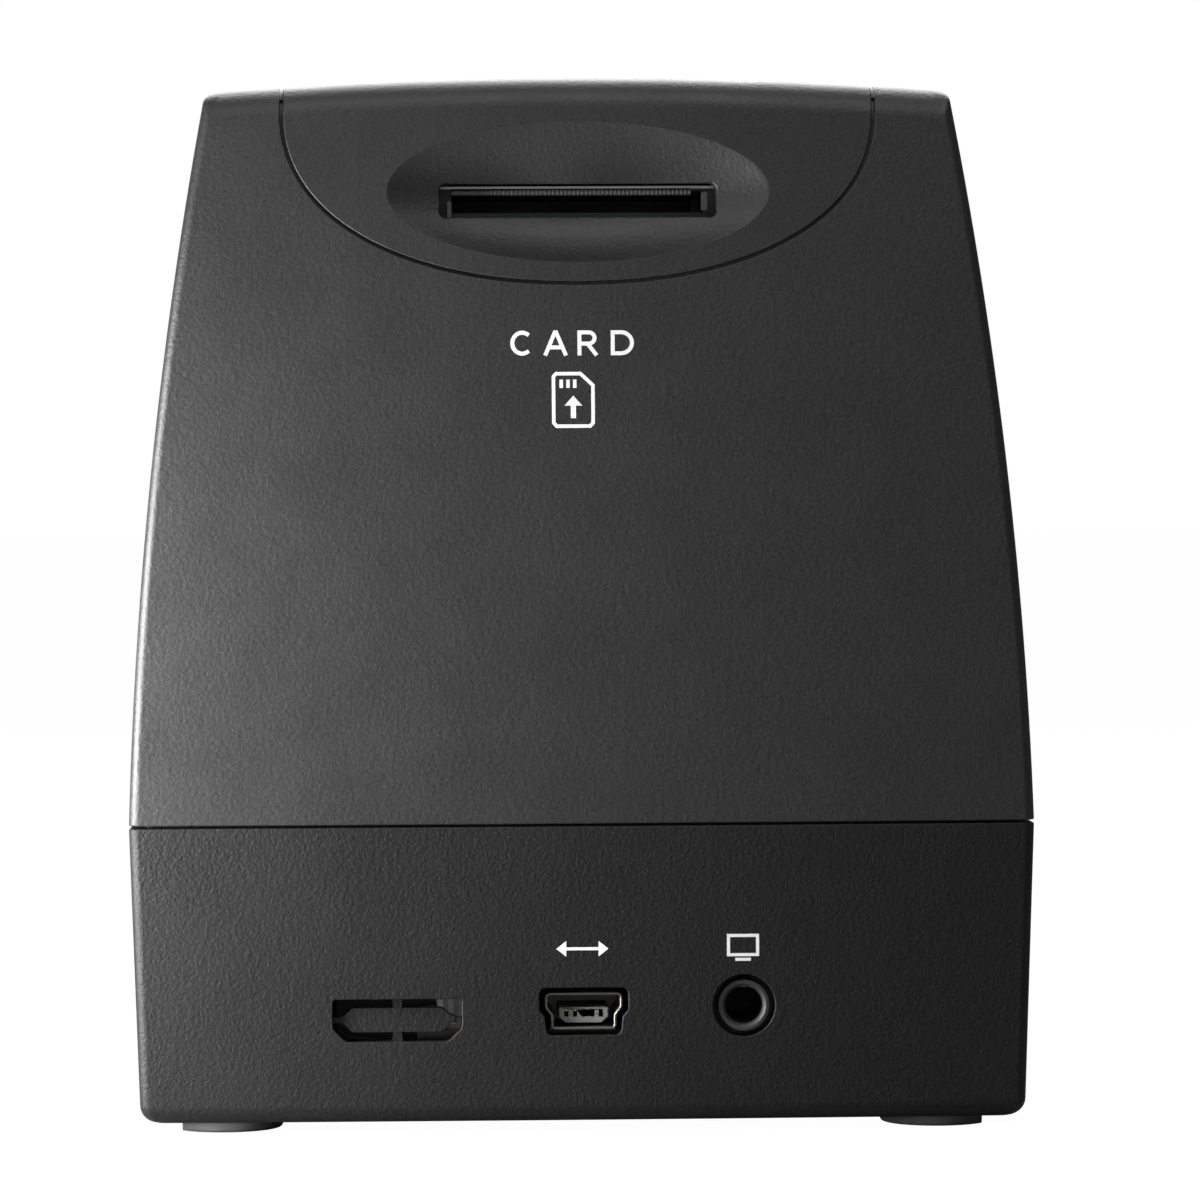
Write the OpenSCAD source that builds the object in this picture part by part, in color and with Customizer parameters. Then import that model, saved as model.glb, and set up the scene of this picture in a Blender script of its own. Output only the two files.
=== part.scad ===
// Desktop scanner for 35 mm film: a base with the film channel and its light,
// and a tower with the camera, the display and a card slot in its back.
// Millimetres. The front faces -Y, the sockets are on +Y, the table is z = 0.

/* [Housing] */
// Width at the parting line
body_w = 87; // [84:1:92]
// Depth at the parting line
body_d = 87; // [85:1:92]
// Height of the crown above the table
crown_z = 101.5; // [99.5:1:105.5]
// Height of the parting line
parting_z = 29.6; // [29.2:0.2:30.4]
// Wall of the base and of the tower
wall = 2.4; // [2.2:0.1:2.8]
// Gap of the parting line
seam = 0.25; // [0.2:0.05:0.35]
// Radius of the upright edges
edge_r = 1; // [0.8:0.1:1.4]
// Radius round the bottom
bottom_r = 1.8; // [1.4:0.2:2.4]
// Radius of the top edge at the back
crown_back_r = 3; // [2:0.5:4]
// roundness of the crown's edges at the sides
crown_side_r = 1; // [0.8:0.1:1.4]
// Radius of the top edge at the front
crown_front_r = 6; // [4:0.5:8]
// Lean of the front, in degrees
front_lean = 15; // [13:0.5:16]
// Lip of the base inside the tower
lip_h = 1.4; // [1:0.2:2]
// Wall of that lip
lip_t = 1; // [0.8:0.1:1.2]

/* [Top panel] */
// Frame of the panel beside its window
panel_edge = 2.2; // [1.9:0.1:2.5]
// Wall of the panel
panel_t = 1.2; // [1:0.1:1.2]
// Seam round the panel
panel_gap = 0.35; // [0.25:0.05:0.45]
// Ledge of the tower under the panel
ledge_w = 1.2; // [1:0.1:1.3]
// Lowest point of the tongue at the back
tongue_z = 81.4; // [80.8:0.1:81.8]
// Height where the tongue starts to narrow
tongue_bend_z = 98.1; // [96.5:0.2:98.5]
// Lowest edge of the panel at the front
apron_z = 34; // [33:0.5:34.5]

/* [Card slot] */
// Width of the scoop
scoop_w = 36.8; // [36:0.2:37.4]
// Height of the scoop
scoop_h = 13.6; // [13:0.2:13.8]
// Height of the scoop's centre
scoop_z = 90.4; // [90.2:0.1:90.6]
// Depth of the scoop
scoop_deep = 3; // [2.6:0.1:3.2]
// Width of the card slot
slot_w = 26.8; // [26:0.2:27.2]
// Height of the card slot
slot_h = 3.4; // [3.2:0.1:3.6]
// Height of the slot's centre
slot_z = 89.6; // [89.4:0.1:89.8]
// Travel of the push-push slider
slider_travel = 1.3; // [1:0.1:1.6]

/* [Display and buttons] */
// Width of the visible display
view_w = 49; // [47:1:50]
// Height of the visible display
view_h = 36.8; // [35:0.4:37.2]
// Place of the display along the front, from the parting line
display_s = 39.8; // [39.6:0.1:40.2]
// Place of the buttons along the front, from the parting line
buttons_s = 12.8; // [12.4:0.1:12.8]
// Spacing of the buttons
button_pitch = 9.4; // [9.2:0.1:9.6]
// Radius of the small buttons
button_r = 3.2; // [2.8:0.1:3.3]
// Radius of the middle button
ok_r = 4; // [3.6:0.1:4]
// How far a button stands out
button_proud = 0.8; // [0.6:0.1:1.2]
// Travel of a button
button_travel = 0.4; // [0.3:0.05:0.5]

/* [Film channel] */
// Width of the channel
channel_w = 58.6; // [58:0.2:59]
// Height of the channel
channel_h = 8.2; // [7.8:0.1:8.4]
// Width of the film gate
gate_w = 38; // [36:1:40]
// Depth of the film gate
gate_d = 26; // [24:1:28]
// How far the detent stands into the channel
detent_in = 1; // [0.6:0.1:1.2]

/* [Sockets] */
// Height of the top of the socket board
io_z = 9.6; // [9.4:0.1:9.8]
// Width of the mini socket's shell
mini_w = 7.5; // [7.3:0.1:7.7]
// Height of the mini socket's shell
mini_h = 3.6; // [3.5:0.1:3.8]
// Place of the jack, left of the middle in a back view being +X
jack_x = -15.4; // [-15.8:0.2:-15]
// Radius of the jack's nose
jack_nose_r = 2.5; // [2.4:0.1:2.6]
// Bore of the jack
jack_bore_r = 1.8; // [1.75:0.05:1.85]
// Place of the blank for a third socket
blank_x = 17.9; // [17.6:0.1:18.2]
// Width of the blank
blank_w = 12.4; // [12:0.1:13.2]
// Height of the blank
blank_h = 4.1; // [4:0.1:4.6]

/* [Feet and screws] */
// Height of the feet
foot_h = 1; // [0.9:0.1:1.4]
// Radius of the feet
foot_r = 5.5; // [5:0.1:5.6]
// Side cut of the feet, from their centre
foot_cut = 4.2; // [3.8:0.1:4.6]
// From the side of the body to the middle of a foot
corner_in = 9; // [8.7:0.1:9.3]
// From the back of the body to the middle of a foot
corner_in_y = 8.7; // [8.2:0.1:8.8]
// Radius of the case screws
screw_r = 1.3; // [1.2:0.05:1.4]
// Radius of the board screws
pin_r = 0.95; // [0.9:0.05:1]

/* [Hidden] */
$fn = 48;
fit = 0.3;          // clearance between pieces that are let into each other
slide = 0.15;       // running clearance
cut = 1;            // how far a cutter passes the face that it cuts

// walls of the housing: lean in degrees, then the radius of the long curve
side_lean = 1.75;
side_arc = 457;
back_lean = 1.15;
back_arc = 833;
base_draft = 1.8;
back_bow = 0.6;
crown_arc = 480;
top_fall = 1.5;
least_r = 0.8;      // smallest radius left on an inner edge

seat_gap = 0.1;     // panel to ledge
tongue_power = 2.2; // squareness of the tongue's end
apron_r = 8;
post_r = 3;         // posts of the case screws in the tower, bosses in the base
boss_r = 3.4;
rib_t = 1.2;
post_top = 38;
head_r = 2.3;
head_h = 1.8;
screw_seat = 14;    // height of the case screws' heads
screw_l = 22;
pin_head_r = 1.7;
pin_head_h = 1.2;
pin_l = 4.6;
stud_r = 1.8;
lug_r = 2.6;
board_t = 1.6;
link_w = 11;        // ribbon connectors: width, depth, height
link_d = 4;
link_h = 2.2;

floor_z = foot_h + wall;
rim_z = parting_z - seam / 2;
eave_z = parting_z + seam / 2;
bed_z = rim_z - channel_h;
bed_t = 2.4;
rail_t = 1.3;
rail_y = channel_w / 2 + fit;
rail_out = rail_y + rail_t;
cover_z = rim_z;
cover_t = 2;
lamp_w = 48;
lamp_d = 36;
led_link_x = -8;
led_link_y = lamp_d / 2 + 2.2;
main_board_w = 58;
// the feet and case screws keep their posts clear of the main board and of the film bed
corner_x = max(body_w / 2 - corner_in, main_board_w / 2 + post_r + fit);
corner_y = max(body_d / 2 - corner_in_y, rail_out + boss_r + fit);
window_rim = 2;     // how far the window laps over its opening
panel_half = view_w / 2 + window_rim + panel_edge;

function above(z) = max(0, z - parting_z);
function below(z) = max(0, parting_z - z);
function half_w(z) = body_w / 2 - tan(side_lean) * above(z)
    - pow(above(z), 2) / (2 * side_arc) - tan(base_draft) * below(z);
function back_y(z) = body_d / 2 - tan(back_lean) * above(z)
    - pow(above(z), 2) / (2 * back_arc) - tan(base_draft) * below(z);
function front_y(z) = -body_d / 2 + tan(front_lean) * above(z) + tan(base_draft) * below(z);
function mid_y(z) = (back_y(z) + front_y(z)) / 2;
function half_d(z) = (back_y(z) - front_y(z)) / 2;

// how far a point lies from the back (0) to the front (1) of the top
function forward(p) = min(1, max(0, (back_y(crown_z) - p.y) / (2 * half_d(crown_z))));
function top_z(p) = crown_z - p.x * p.x / (2 * crown_arc) - top_fall * pow(forward(p), 2);
// how far a corner point is turned to the side: 0 on the back and front, 1 on a side wall
function beside(p, w, r) = min(1, max(0, (abs(p.x) - w + r) / r));
function roll_r(p, d, s) = max(least_r, s * crown_side_r - d
    + (1 - s) * (crown_back_r + (crown_front_r - crown_back_r) * forward(p)));

// outline of a level: a rectangle with round corners and a slightly bowed back
function corner(x, y, r, from, k) = [for (i = [0:k])
    [x + r * cos(from + 90 * i / k), y + r * sin(from + 90 * i / k)]];
function between(p, q, k) = [for (i = [1:k]) p + (q - p) * i / (k + 1)];
function bowed(p, w, f, b) = let (u = p.x / w, v = (2 * p.y - b - f) / (b - f))
    [p.x, p.y - back_bow * max(0, v) * u * u];
function plan(z, side_in, back_in, front_in, r, k) =
    let (w = half_w(z) - side_in, b = back_y(z) - back_in, f = front_y(z) + front_in)
    [for (p = concat(
        corner(w - r, b - r, r, 0, k), between([w - r, b], [r - w, b], k),
        corner(r - w, b - r, r, 90, k), between([-w, b - r], [-w, f + r], k),
        corner(r - w, f + r, r, 180, k), between([r - w, f], [w - r, f], k),
        corner(w - r, f + r, r, 270, k), between([w, f + r], [w, b - r], k)))
        bowed(p, w, f, b)];
// moves a point of the level zn onto the level z
function place(p, zn, z) = [p.x * half_w(z) / half_w(zn),
    mid_y(z) + (p.y - mid_y(zn)) * half_d(z) / half_d(zn), z];

// levels of the tower, d inside its surface: the wall, the rolled edge and the top
function wall_ring(t, low, d, k) =
    let (zn = low + t * (crown_z - d - max(least_r, crown_back_r - d) - low), r = max(least_r, edge_r - d))
    [for (p = plan(zn, d, d, d, r, k))
        let (turned = beside(p, half_w(zn) - d, r))
        place(p, zn, low + t * (top_z(p) - d - roll_r(p, d, turned) - low))];
function roll_ring(a, d, k) =
    let (rb = max(least_r, crown_back_r - d), rf = max(least_r, crown_front_r - d),
        side_in = d + max(least_r, crown_side_r - d) * (1 - cos(a)), r = max(least_r, edge_r - d),
        zn = crown_z - d - rb * (1 - sin(a)))
    [for (p = plan(zn, side_in, d + rb * (1 - cos(a)), d + rf * (1 - cos(a)), r, k))
        let (turned = beside(p, half_w(zn) - side_in, r))
        place(p, zn, top_z(p) - d - roll_r(p, d, turned) * (1 - sin(a)))];
function top_ring(s, d, k) = [for (p = roll_ring(90, d, k))
    let (q = [p.x * s, mid_y(crown_z) + (p.y - mid_y(crown_z)) * s]) [q.x, q.y, top_z(q) - d]];
// level of the base or of its lip
function flat_ring(z, d, r, k) = [for (p = plan(z, d, d, d, r, k)) [p.x, p.y, z]];

// joins rings of as many points; the first ring is flat, and so is the last without an apex
module loft(rings, apex = undef) {
    n = len(rings[0]);
    m = len(rings);
    last = (m - 1) * n;
    points = concat([for (r = rings) each r], is_undef(apex) ? [] : [apex]);
    sides = [for (i = [0:m - 2]) for (j = [0:n - 1]) let (k = (j + 1) % n)
        each [[i * n + j, (i + 1) * n + j, (i + 1) * n + k], [i * n + j, (i + 1) * n + k, i * n + k]]];
    lid = is_undef(apex) ? [[for (j = [n - 1:-1:0]) last + j]]
        : [for (j = [0:n - 1]) [last + j, m * n, last + (j + 1) % n]];
    polyhedron(points, concat(sides, [[for (j = [0:n - 1]) j]], lid), convexity = 6);
}
module tower_form(low, d, k, levels) {
    middle = [0, mid_y(crown_z)];
    loft(concat([for (i = [0:levels]) wall_ring(i / levels, low, d, k)],
        [for (a = [90 / k:90 / k:90]) roll_ring(a, d, k)],
        [for (s = [0.75, 0.5, 0.25]) top_ring(s, d, k)]),
        [middle.x, middle.y, top_z(middle) - d]);
}

// outlines of the top panel as seen along Y, g smaller than its opening
function tongue(g) = concat([[panel_half - g, crown_z + 9], [g - panel_half, crown_z + 9]],
    [for (i = [0:28]) let (a = 180 * i / 28, c = cos(a))
        [-(panel_half - g) * sign(c) * pow(abs(c), 2 / tongue_power),
        tongue_bend_z - (tongue_bend_z - tongue_z - g) * pow(sin(a), 2 / tongue_power)]]);
function apron(g) = concat([[panel_half - g, crown_z + 9], [g - panel_half, crown_z + 9]],
    [for (p = corner(apron_r - panel_half, apron_z + apron_r, apron_r - g, 180, 8)) p],
    [for (p = corner(panel_half - apron_r, apron_z + apron_r, apron_r - g, 270, 8)) p]);
module along_y(from, to) translate([0, to, 0]) rotate([90, 0, 0]) linear_extrude(to - from) children();
module panel_prism(g) {
    along_y(-1, body_d) polygon(tongue(g));
    along_y(-body_d, 0) polygon(apron(g));
}

// places children on the front: s up along it, d inwards
module on_front(x, s, d) translate([0, front_y(parting_z), parting_z])
    rotate([90 - front_lean, 0, 0]) translate([x, s, -d]) children();
module at(points) for (p = points) translate(p) children();
module mirrored_x() { children(); mirror([1, 0, 0]) children(); }
module mirrored_y() { children(); mirror([0, 1, 0]) children(); }
module corners() mirrored_x() mirrored_y() children();
module box(x, y, z, w, d, h) translate([x - w / 2, y - d / 2, z]) cube([w, d, h]);
module tube_z(x, y, z, r, h) translate([x, y, z]) cylinder(h = h, r = r);
// hole for a board screw through a plate that is t thick
module pin_hole(p, z, t) tube_z(p.x, p.y, z - cut, pin_r + slide, t + 2 * cut);

// ---- base ----

bed_gap = 0.8;      // end of the film bed to the wall
bed_l = 2 * (half_w(bed_z) - wall - bed_gap);
rib_top = parting_z - 4;
module base_corner_boss() {
    tube_z(corner_x, corner_y, foot_h, boss_r, parting_z - foot_h);
    translate([corner_x, corner_y - rib_t / 2, foot_h])
        cube([half_w(foot_h) - wall / 2 - corner_x, rib_t, rib_top - foot_h]);
    translate([corner_x - rib_t / 2, corner_y, foot_h])
        cube([rib_t, back_y(foot_h) - wall / 2 - corner_y, rib_top - foot_h]);
}
module base_corner_bore() {
    tube_z(corner_x, corner_y, foot_h - cut, screw_r + slide, parting_z);
    tube_z(corner_x, corner_y, foot_h - cut, head_r + slide, screw_seat - foot_h + cut);
}
bed_post = [corner_x + 0.5, 24];
led_post = [22, 15];
io_gap = 0.85;      // socket board to the wall behind it
io_back = back_y(io_z) - wall - io_gap;
io_x = [-25, 16];
io_y = [max(io_back - 15.1, led_link_y + 3), io_back];
io_posts = [[-22, io_y[0] + 3.5], [12.5, io_y[0] + 3.5], [-8, io_back - 3.6]];
module base_posts() {
    low = floor_z - cut;
    corners() tube_z(bed_post.x, bed_post.y, low, lug_r, bed_z - bed_t - low);
    corners() tube_z(led_post.x, led_post.y, low, stud_r, led_z - low);
    for (p = io_posts) tube_z(p.x, p.y, low, stud_r, io_z - board_t - low);
}
module post_bores() {
    corners() tube_z(bed_post.x, bed_post.y, bed_z - pin_head_h - pin_l - cut, pin_r, pin_l);
    for (p = io_posts) tube_z(p.x, p.y, io_z - pin_l - fit, pin_r, pin_l);
}

// mini socket: wide at the top, stepping in to a narrower bottom
mini_lift = 0.25;   // the shell stands this far off its board
mini_z = io_z + mini_h / 2 + mini_lift;
mini_out = 0.5;     // housing opening round the shell
module mini_outline(g) polygon([for (p = [[1, 0.5], [1, -0.02], [0.74, -0.5]])
    each [[p.x * mini_w / 2 + g, p.y * mini_h + (p.y > 0 ? g : p.y < -0.4 ? -g : 0)]],
    for (p = [[-0.74, -0.5], [-1, -0.02], [-1, 0.5]])
    each [[p.x * mini_w / 2 - g, p.y * mini_h + (p.y > 0 ? g : p.y < -0.4 ? -g : 0)]]]);
jack_z = io_z + jack_nose_r;
jack_gap = 0.5;
blank_z = 10.9;
blank_web = [0.95, 0.42];
island_w = blank_w - 1.2;
island_h = blank_h - 1.7;
island_deep = 0.9;
island_t = 1;
module blank_outline() translate([blank_x, blank_z]) polygon([
    [blank_w / 2, blank_h / 2 - 0.4], [blank_w / 2 - 0.4, blank_h / 2], [-blank_w / 2, blank_h / 2],
    [-blank_w / 2, 1.3 - blank_h / 2], [1.3 - blank_w / 2, -blank_h / 2],
    [blank_w / 2 - 1.3, -blank_h / 2], [blank_w / 2, 1.3 - blank_h / 2]]);
module blank_island() translate([blank_x, blank_z]) {
    polygon([for (q = [[1, 1], [-1, 1], [-1, -1], [1, -1]], i = q.x * q.y > 0 ? [0:2] : [2:-1:0])
        let (p = [[island_w / 2, 0.3], [island_w / 2 - 0.7, 0.55], [island_w / 2 - 1.25, island_h / 2]][i])
        [q.x * p.x, q.y * p.y]]);
    square([blank_w + 0.4, blank_web.y], center = true);
    square([blank_web.x, blank_h + 0.8], center = true);
}
module base_shell() color([0.13, 0.13, 0.135]) {
    k = 5;
    wall_in = wall - lip_t;
    skin_y = back_y(blank_z) - back_bow * pow(blank_x / half_w(blank_z), 2);
    difference() {
        union() {
            loft(concat([for (a = [0:90 / k:90])
                flat_ring(foot_h + bottom_r * (1 - cos(a)), bottom_r * (1 - sin(a)), edge_r, k)],
                [flat_ring(parting_z - 10, 0, edge_r, k), flat_ring(rim_z, 0, edge_r, k)]));
            loft([flat_ring(rim_z - 1, wall_in, least_r, 3),
                flat_ring(parting_z, wall_in, least_r, 3),
                flat_ring(parting_z + lip_h, wall_in, least_r, 3)]);
        }
        difference() {
            loft([flat_ring(floor_z, wall + 0.6, least_r, 3), flat_ring(floor_z + 0.6, wall, least_r, 3),
                for (z = [parting_z, parting_z + lip_h + cut]) flat_ring(z, wall, least_r, 3)]);
            corners() base_corner_boss();
            base_posts();
        }
        corners() base_corner_bore();
        mirrored_x() box(half_w(bed_z), 0, bed_z, 4 * wall + 2 * bed_gap, channel_w,
            channel_h + lip_h + 2 * cut);
        post_bores();
        along_y(back_y(mini_z) - wall - cut, body_d) translate([0, mini_z]) mini_outline(mini_out);
        along_y(back_y(jack_z) - wall - cut, body_d) translate([jack_x, jack_z])
            circle(jack_nose_r + jack_gap);
        along_y(skin_y - wall - cut, body_d) blank_outline();
    }
    along_y(skin_y - island_deep - island_t, skin_y - island_deep) blank_island();
}
module foot(mx, my) color([0.2, 0.2, 0.2]) mirror([mx, 0, 0]) mirror([0, my, 0])
    translate([corner_x, corner_y, 0]) difference() {
        cylinder(h = foot_h, r = foot_r);
        translate([foot_cut, -foot_r - cut, -cut]) cube([foot_r, 2 * (foot_r + cut), foot_h + 2 * cut]);
    }
module foot_back_right() foot(1, 0);
module foot_back_left() foot(0, 0);
module foot_front_left() foot(0, 1);
module foot_front_right() foot(1, 1);
module case_screws() color("silver") corners() translate([corner_x, corner_y, screw_seat]) {
    cylinder(h = screw_l, r = screw_r);
    translate([0, 0, -head_h]) cylinder(h = head_h, r = head_r);
}

// ---- tower ----

lip_top = eave_z + lip_h + fit;     // room for the lip of the base
module tower_posts() {
    intersection() {
        corners() tube_z(corner_x, corner_y, parting_z, post_r, lip_top - parting_z);
        loft([for (z = [parting_z - cut, lip_top + cut]) flat_ring(z, wall + slide, least_r, 3)]);
    }
    corners() {
        tube_z(corner_x, corner_y, lip_top, post_r, post_top - lip_top);
        translate([corner_x, corner_y - rib_t / 2, lip_top])
            cube([half_w(post_top) - wall / 2 - corner_x, rib_t, post_top - lip_top]);
    }
}
module tower_bores() corners()
    tube_z(corner_x, corner_y, parting_z - cut, screw_r + 0.05, screw_seat + screw_l + 2 * cut - parting_z);
main_x = 25;
main_low = 42;
main_high = 78;
main_gap = 3.9;     // main board to the wall behind it
main_y = back_y(main_high) - back_bow - wall - main_gap - board_t;
module main_bosses() mirrored_x() for (z = [main_low, main_high])
    translate([main_x, 0, z]) along_y(main_y + board_t, back_y(z) - back_bow - wall / 2) circle(stud_r);
module main_bores() mirrored_x() for (z = [main_low, main_high])
    translate([main_x, 0, z]) along_y(main_y, main_y + board_t + pin_l - 1) circle(pin_r);
module tower_shell() color([0.12, 0.12, 0.125]) difference() {
    union() {
        difference() {
            tower_form(eave_z, 0, 6, 10);
            tower_form(eave_z - cut, wall, 3, 4);
            loft([for (z = [parting_z - cut, parting_z, lip_top])
                flat_ring(z, wall - lip_t - slide, least_r, 3)]);
            difference() {
                panel_prism(0);
                tower_form(eave_z, panel_t + seat_gap, 3, 6);
            }
            panel_prism(ledge_w);
        }
        tower_posts();
        main_bosses();
    }
    tower_bores();
    main_bores();
}

// ---- top panel ----

scoop_pole = slot_z - 0.5;
function skin_back(x, z) = back_y(z) - back_bow * pow(x / half_w(z), 2);
function scoop_power(a) = 2 + (sin(a) > 0 ? -0.7 : 1.5) * pow(sin(a), 2);
function scoop_point(t, a) = let (x = t * scoop_w / 2 * cos(a),
    z = scoop_pole + t * (scoop_z + scoop_h / 2 * sin(a) - scoop_pole))
    [x, skin_back(x, z) - scoop_deep * (1 - pow(t, scoop_power(a))), z];
module scoop_cutter() {
    n = 40;
    inner = [for (t = [0.2, 0.4, 0.6, 0.75, 0.88, 0.96, 1.03])
        [for (i = [0:n - 1]) scoop_point(t, 360 * i / n)]];
    rim = [for (p = inner[len(inner) - 1]) [p.x, back_y(parting_z) + cut, p.z]];
    rings = concat([rim], [for (i = [len(inner) - 1:-1:0]) inner[i]]);
    loft(rings, scoop_point(0, 0));
}
scoop_back = back_y(slot_z) - scoop_deep - panel_t;
module ellipse(w, h) polygon([for (i = [0:47]) [w / 2 * cos(7.5 * i), h / 2 * sin(7.5 * i)]]);
module scoop_boss() along_y(scoop_back, body_d) translate([0, scoop_z]) ellipse(scoop_w + 1.2, scoop_h + 1.2);
slot_r = 0.6;
module slot_outline() hull() corners() translate([slot_w / 2 - slot_r, slot_h / 2 - slot_r])
    circle(slot_r, $fn = 24);

glass_w = 59;
glass_h = 42.4;
glass_d = wall + fit;        // depth of the display behind the front
glass_t = 2.8;
front_d = glass_d + glass_t + 0.2;
front_studs = [[14.3, 8.6], [24, 63.2]];
buttons = [-2, -1, 0, 1, 2];
function button_place(i) = [i * button_pitch, buttons_s - 0.35 * (4 - i * i)];
function cap_r(i) = i == 0 ? ok_r : button_r;
window_t = 0.8;
window_size = [view_w + 2 * window_rim, view_h + 2 * window_rim];
power_y = 4;
power_r = 4.2;
power_top = top_z([0, power_y]);
hook_y = [-6, 24];
socket_y = scoop_back - fit;   // mouth of the card socket
card_studs = [[17.6, socket_y - 22.6], [17.6, socket_y - 4.6]];
hook_w = 4;
hook_t = 1;
// snap hook that reaches under the tower's ledge
module top_hook(y) {
    x = panel_half - ledge_w - fit;
    h = wall + fit + 1.2 * hook_t;
    translate([x - hook_t, y - hook_w / 2, top_z([x, y]) - h]) {
        cube([hook_t, hook_w, h - panel_t / 2]);
        cube([hook_t + ledge_w, hook_w, hook_t]);
    }
}
module top_panel() color([0.11, 0.11, 0.115]) difference() {
    union() {
        intersection() {
            tower_form(eave_z, 0, 6, 10);
            union() {
                difference() {
                    panel_prism(panel_gap);
                    tower_form(eave_z, panel_t, 3, 6);
                }
                scoop_boss();
            }
        }
        mirrored_x() for (p = front_studs) on_front(p.x, p.y, front_d)
            cylinder(h = front_d - panel_t / 2, r = stud_r);
        mirrored_x() for (p = card_studs) tube_z(p.x, p.y, card_z, stud_r, top_z(p) - panel_t / 2 - card_z);
        mirrored_x() tube_z(power_stud, power_y, power_z, stud_r, power_top - panel_t / 2 - power_z);
        mirrored_x() for (y = hook_y) top_hook(y);
    }
    scoop_cutter();
    along_y(scoop_back - cut, body_d) translate([0, slot_z]) slot_outline();
    on_front(0, display_s, window_t) box(0, 0, 0, window_size.x, window_size.y, window_t + cut);
    on_front(0, display_s, panel_t + cut) box(0, 0, 0, view_w, view_h, panel_t + 2 * cut);
    for (i = buttons) on_front(button_place(i).x, button_place(i).y, panel_t + cut)
        cylinder(h = panel_t + 2 * cut, r = cap_r(i) + slide);
    tube_z(0, power_y, power_top - panel_t - cut, power_r + slide, panel_t + 2 * cut);
    hole_l = pin_l - board_t + fit + cut;
    mirrored_x() for (p = front_studs) on_front(p.x, p.y, front_d + cut) cylinder(h = hole_l, r = pin_r);
    mirrored_x() for (p = card_studs) tube_z(p.x, p.y, card_z - cut, pin_r, hole_l);
    mirrored_x() tube_z(power_stud, power_y, power_z - cut, pin_r, hole_l - (1 - power_pin) * pin_l);
}

// ---- display, buttons and their board ----

module display_window() color([0.25, 0.28, 0.3, 0.5]) on_front(0, display_s, window_t - 0.05)
    box(0, 0, 0, window_size.x - 2 * slide, window_size.y - 2 * slide, window_t - 0.05);
plate_t = 1.6;      // the glass itself, in its frame
frame_t = 1.5;
module display_glass() color([0.05, 0.06, 0.08]) on_front(0, display_s, glass_d + plate_t)
    box(0, 0, 0, glass_w - 2 * frame_t, glass_h - 2 * frame_t, plate_t);
module display_frame() color([0.75, 0.76, 0.78]) on_front(0, display_s, glass_d + glass_t) difference() {
    box(0, 0, 0, glass_w, glass_h, glass_t);
    box(0, 0, glass_t - plate_t, glass_w - 2 * frame_t, glass_h - 2 * frame_t, plate_t + cut);
}
front_board_s = [5.8, 66];
front_board_w = 2 * (panel_half - ledge_w - fit);
module front_board() color([0.05, 0.3, 0.15]) difference() {
    on_front(0, 0, front_d + board_t) translate([-front_board_w / 2, front_board_s[0], 0])
        cube([front_board_w, front_board_s[1] - front_board_s[0], board_t]);
    mirrored_x() for (p = front_studs) on_front(p.x, p.y, front_d + board_t + cut)
        cylinder(h = board_t + 2 * cut, r = pin_r + slide);
}
flange_t = 0.6;
flange_w = 0.5;
flange_gap = 0.25;
stem_r = 1.2;
stem_in = 0.6;      // how far a stem reaches into its switch
press_room = panel_t + flange_gap + flange_t + button_travel + slide;
switch_h = front_d - press_room;
switch_deep = stem_in + button_travel + fit;
switch_w = 6;
// switch with the hole that its button's stem works in
module switch_case() difference() {
    box(0, 0, 0, switch_w, switch_w, switch_h);
    translate([0, 0, switch_h - switch_deep]) cylinder(h = switch_deep + cut, r = stem_r + slide);
}
module tact_switches() color([0.1, 0.1, 0.1]) for (i = buttons)
    on_front(button_place(i).x, button_place(i).y, front_d) switch_case();
cap_bevel = 0.3;
// cap in its hole, flange behind the panel and stem in the switch; z = 0 is the outer face
module button(r, deep) {
    back = -panel_t - flange_gap;
    edge = button_proud - cap_bevel;
    translate([0, 0, back]) cylinder(h = edge - back, r = r);
    translate([0, 0, edge]) cylinder(h = cap_bevel, r1 = r, r2 = r - cap_bevel);
    translate([0, 0, back - flange_t]) cylinder(h = flange_t, r = r + flange_w);
    translate([0, 0, -deep]) cylinder(h = deep - panel_t, r = stem_r);
}
stem_deep = press_room + stem_in;
module front_button(i) color([0.7, 0.7, 0.72]) on_front(button_place(i).x, button_place(i).y, 0)
    button(cap_r(i), stem_deep);
module mode_button() front_button(-2);
module left_button() front_button(-1);
module ok_button() front_button(0);
module right_button() front_button(1);
module copy_button() front_button(2);
power_stud = 9;
power_z = power_top - press_room - switch_h;
module power_button() color([0.7, 0.7, 0.72]) translate([0, power_y, power_top])
    button(power_r, stem_deep);
power_board_size = [23, 9];
power_pin = 0.75;   // its screws are this much smaller
module power_board() color([0.05, 0.3, 0.15]) difference() {
    box(0, power_y, power_z - board_t, power_board_size.x, power_board_size.y, board_t);
    mirrored_x() pin_hole([power_stud, power_y], power_z - board_t, board_t);
}
module power_switch() color([0.1, 0.1, 0.1]) translate([0, power_y, power_z]) switch_case();

// ---- card socket ----

socket_w = 28;
socket_l = 28;
socket_h = 3;
socket_t = 0.25;
card_z = slot_z - socket_h / 2;
card_w = 24.4;
card_board_size = [40, 29];
card_floor = 0.45;  // moulded floor under the card
module card_board() color([0.05, 0.3, 0.15]) difference() {
    size = card_board_size;
    box(0, socket_y - fit - size.y / 2, card_z - board_t, size.x, size.y, board_t);
    mirrored_x() for (p = card_studs) pin_hole(p, card_z - board_t, board_t);
}
module card_socket_shell() color([0.78, 0.78, 0.8]) difference() {
    box(0, socket_y - socket_l / 2, card_z, socket_w, socket_l, socket_h);
    box(0, socket_y - socket_l / 2, card_z - cut, socket_w - 2 * socket_t, socket_l + 2 * cut,
        socket_h - socket_t + cut);
}
slider_l = 10;
slider_w = 0.8;
slider_h = 1.7;
slider_y = socket_y - 3.6 - slider_l;
carrier_in = 0.6;   // socket's mouth to its moulded carrier
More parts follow.
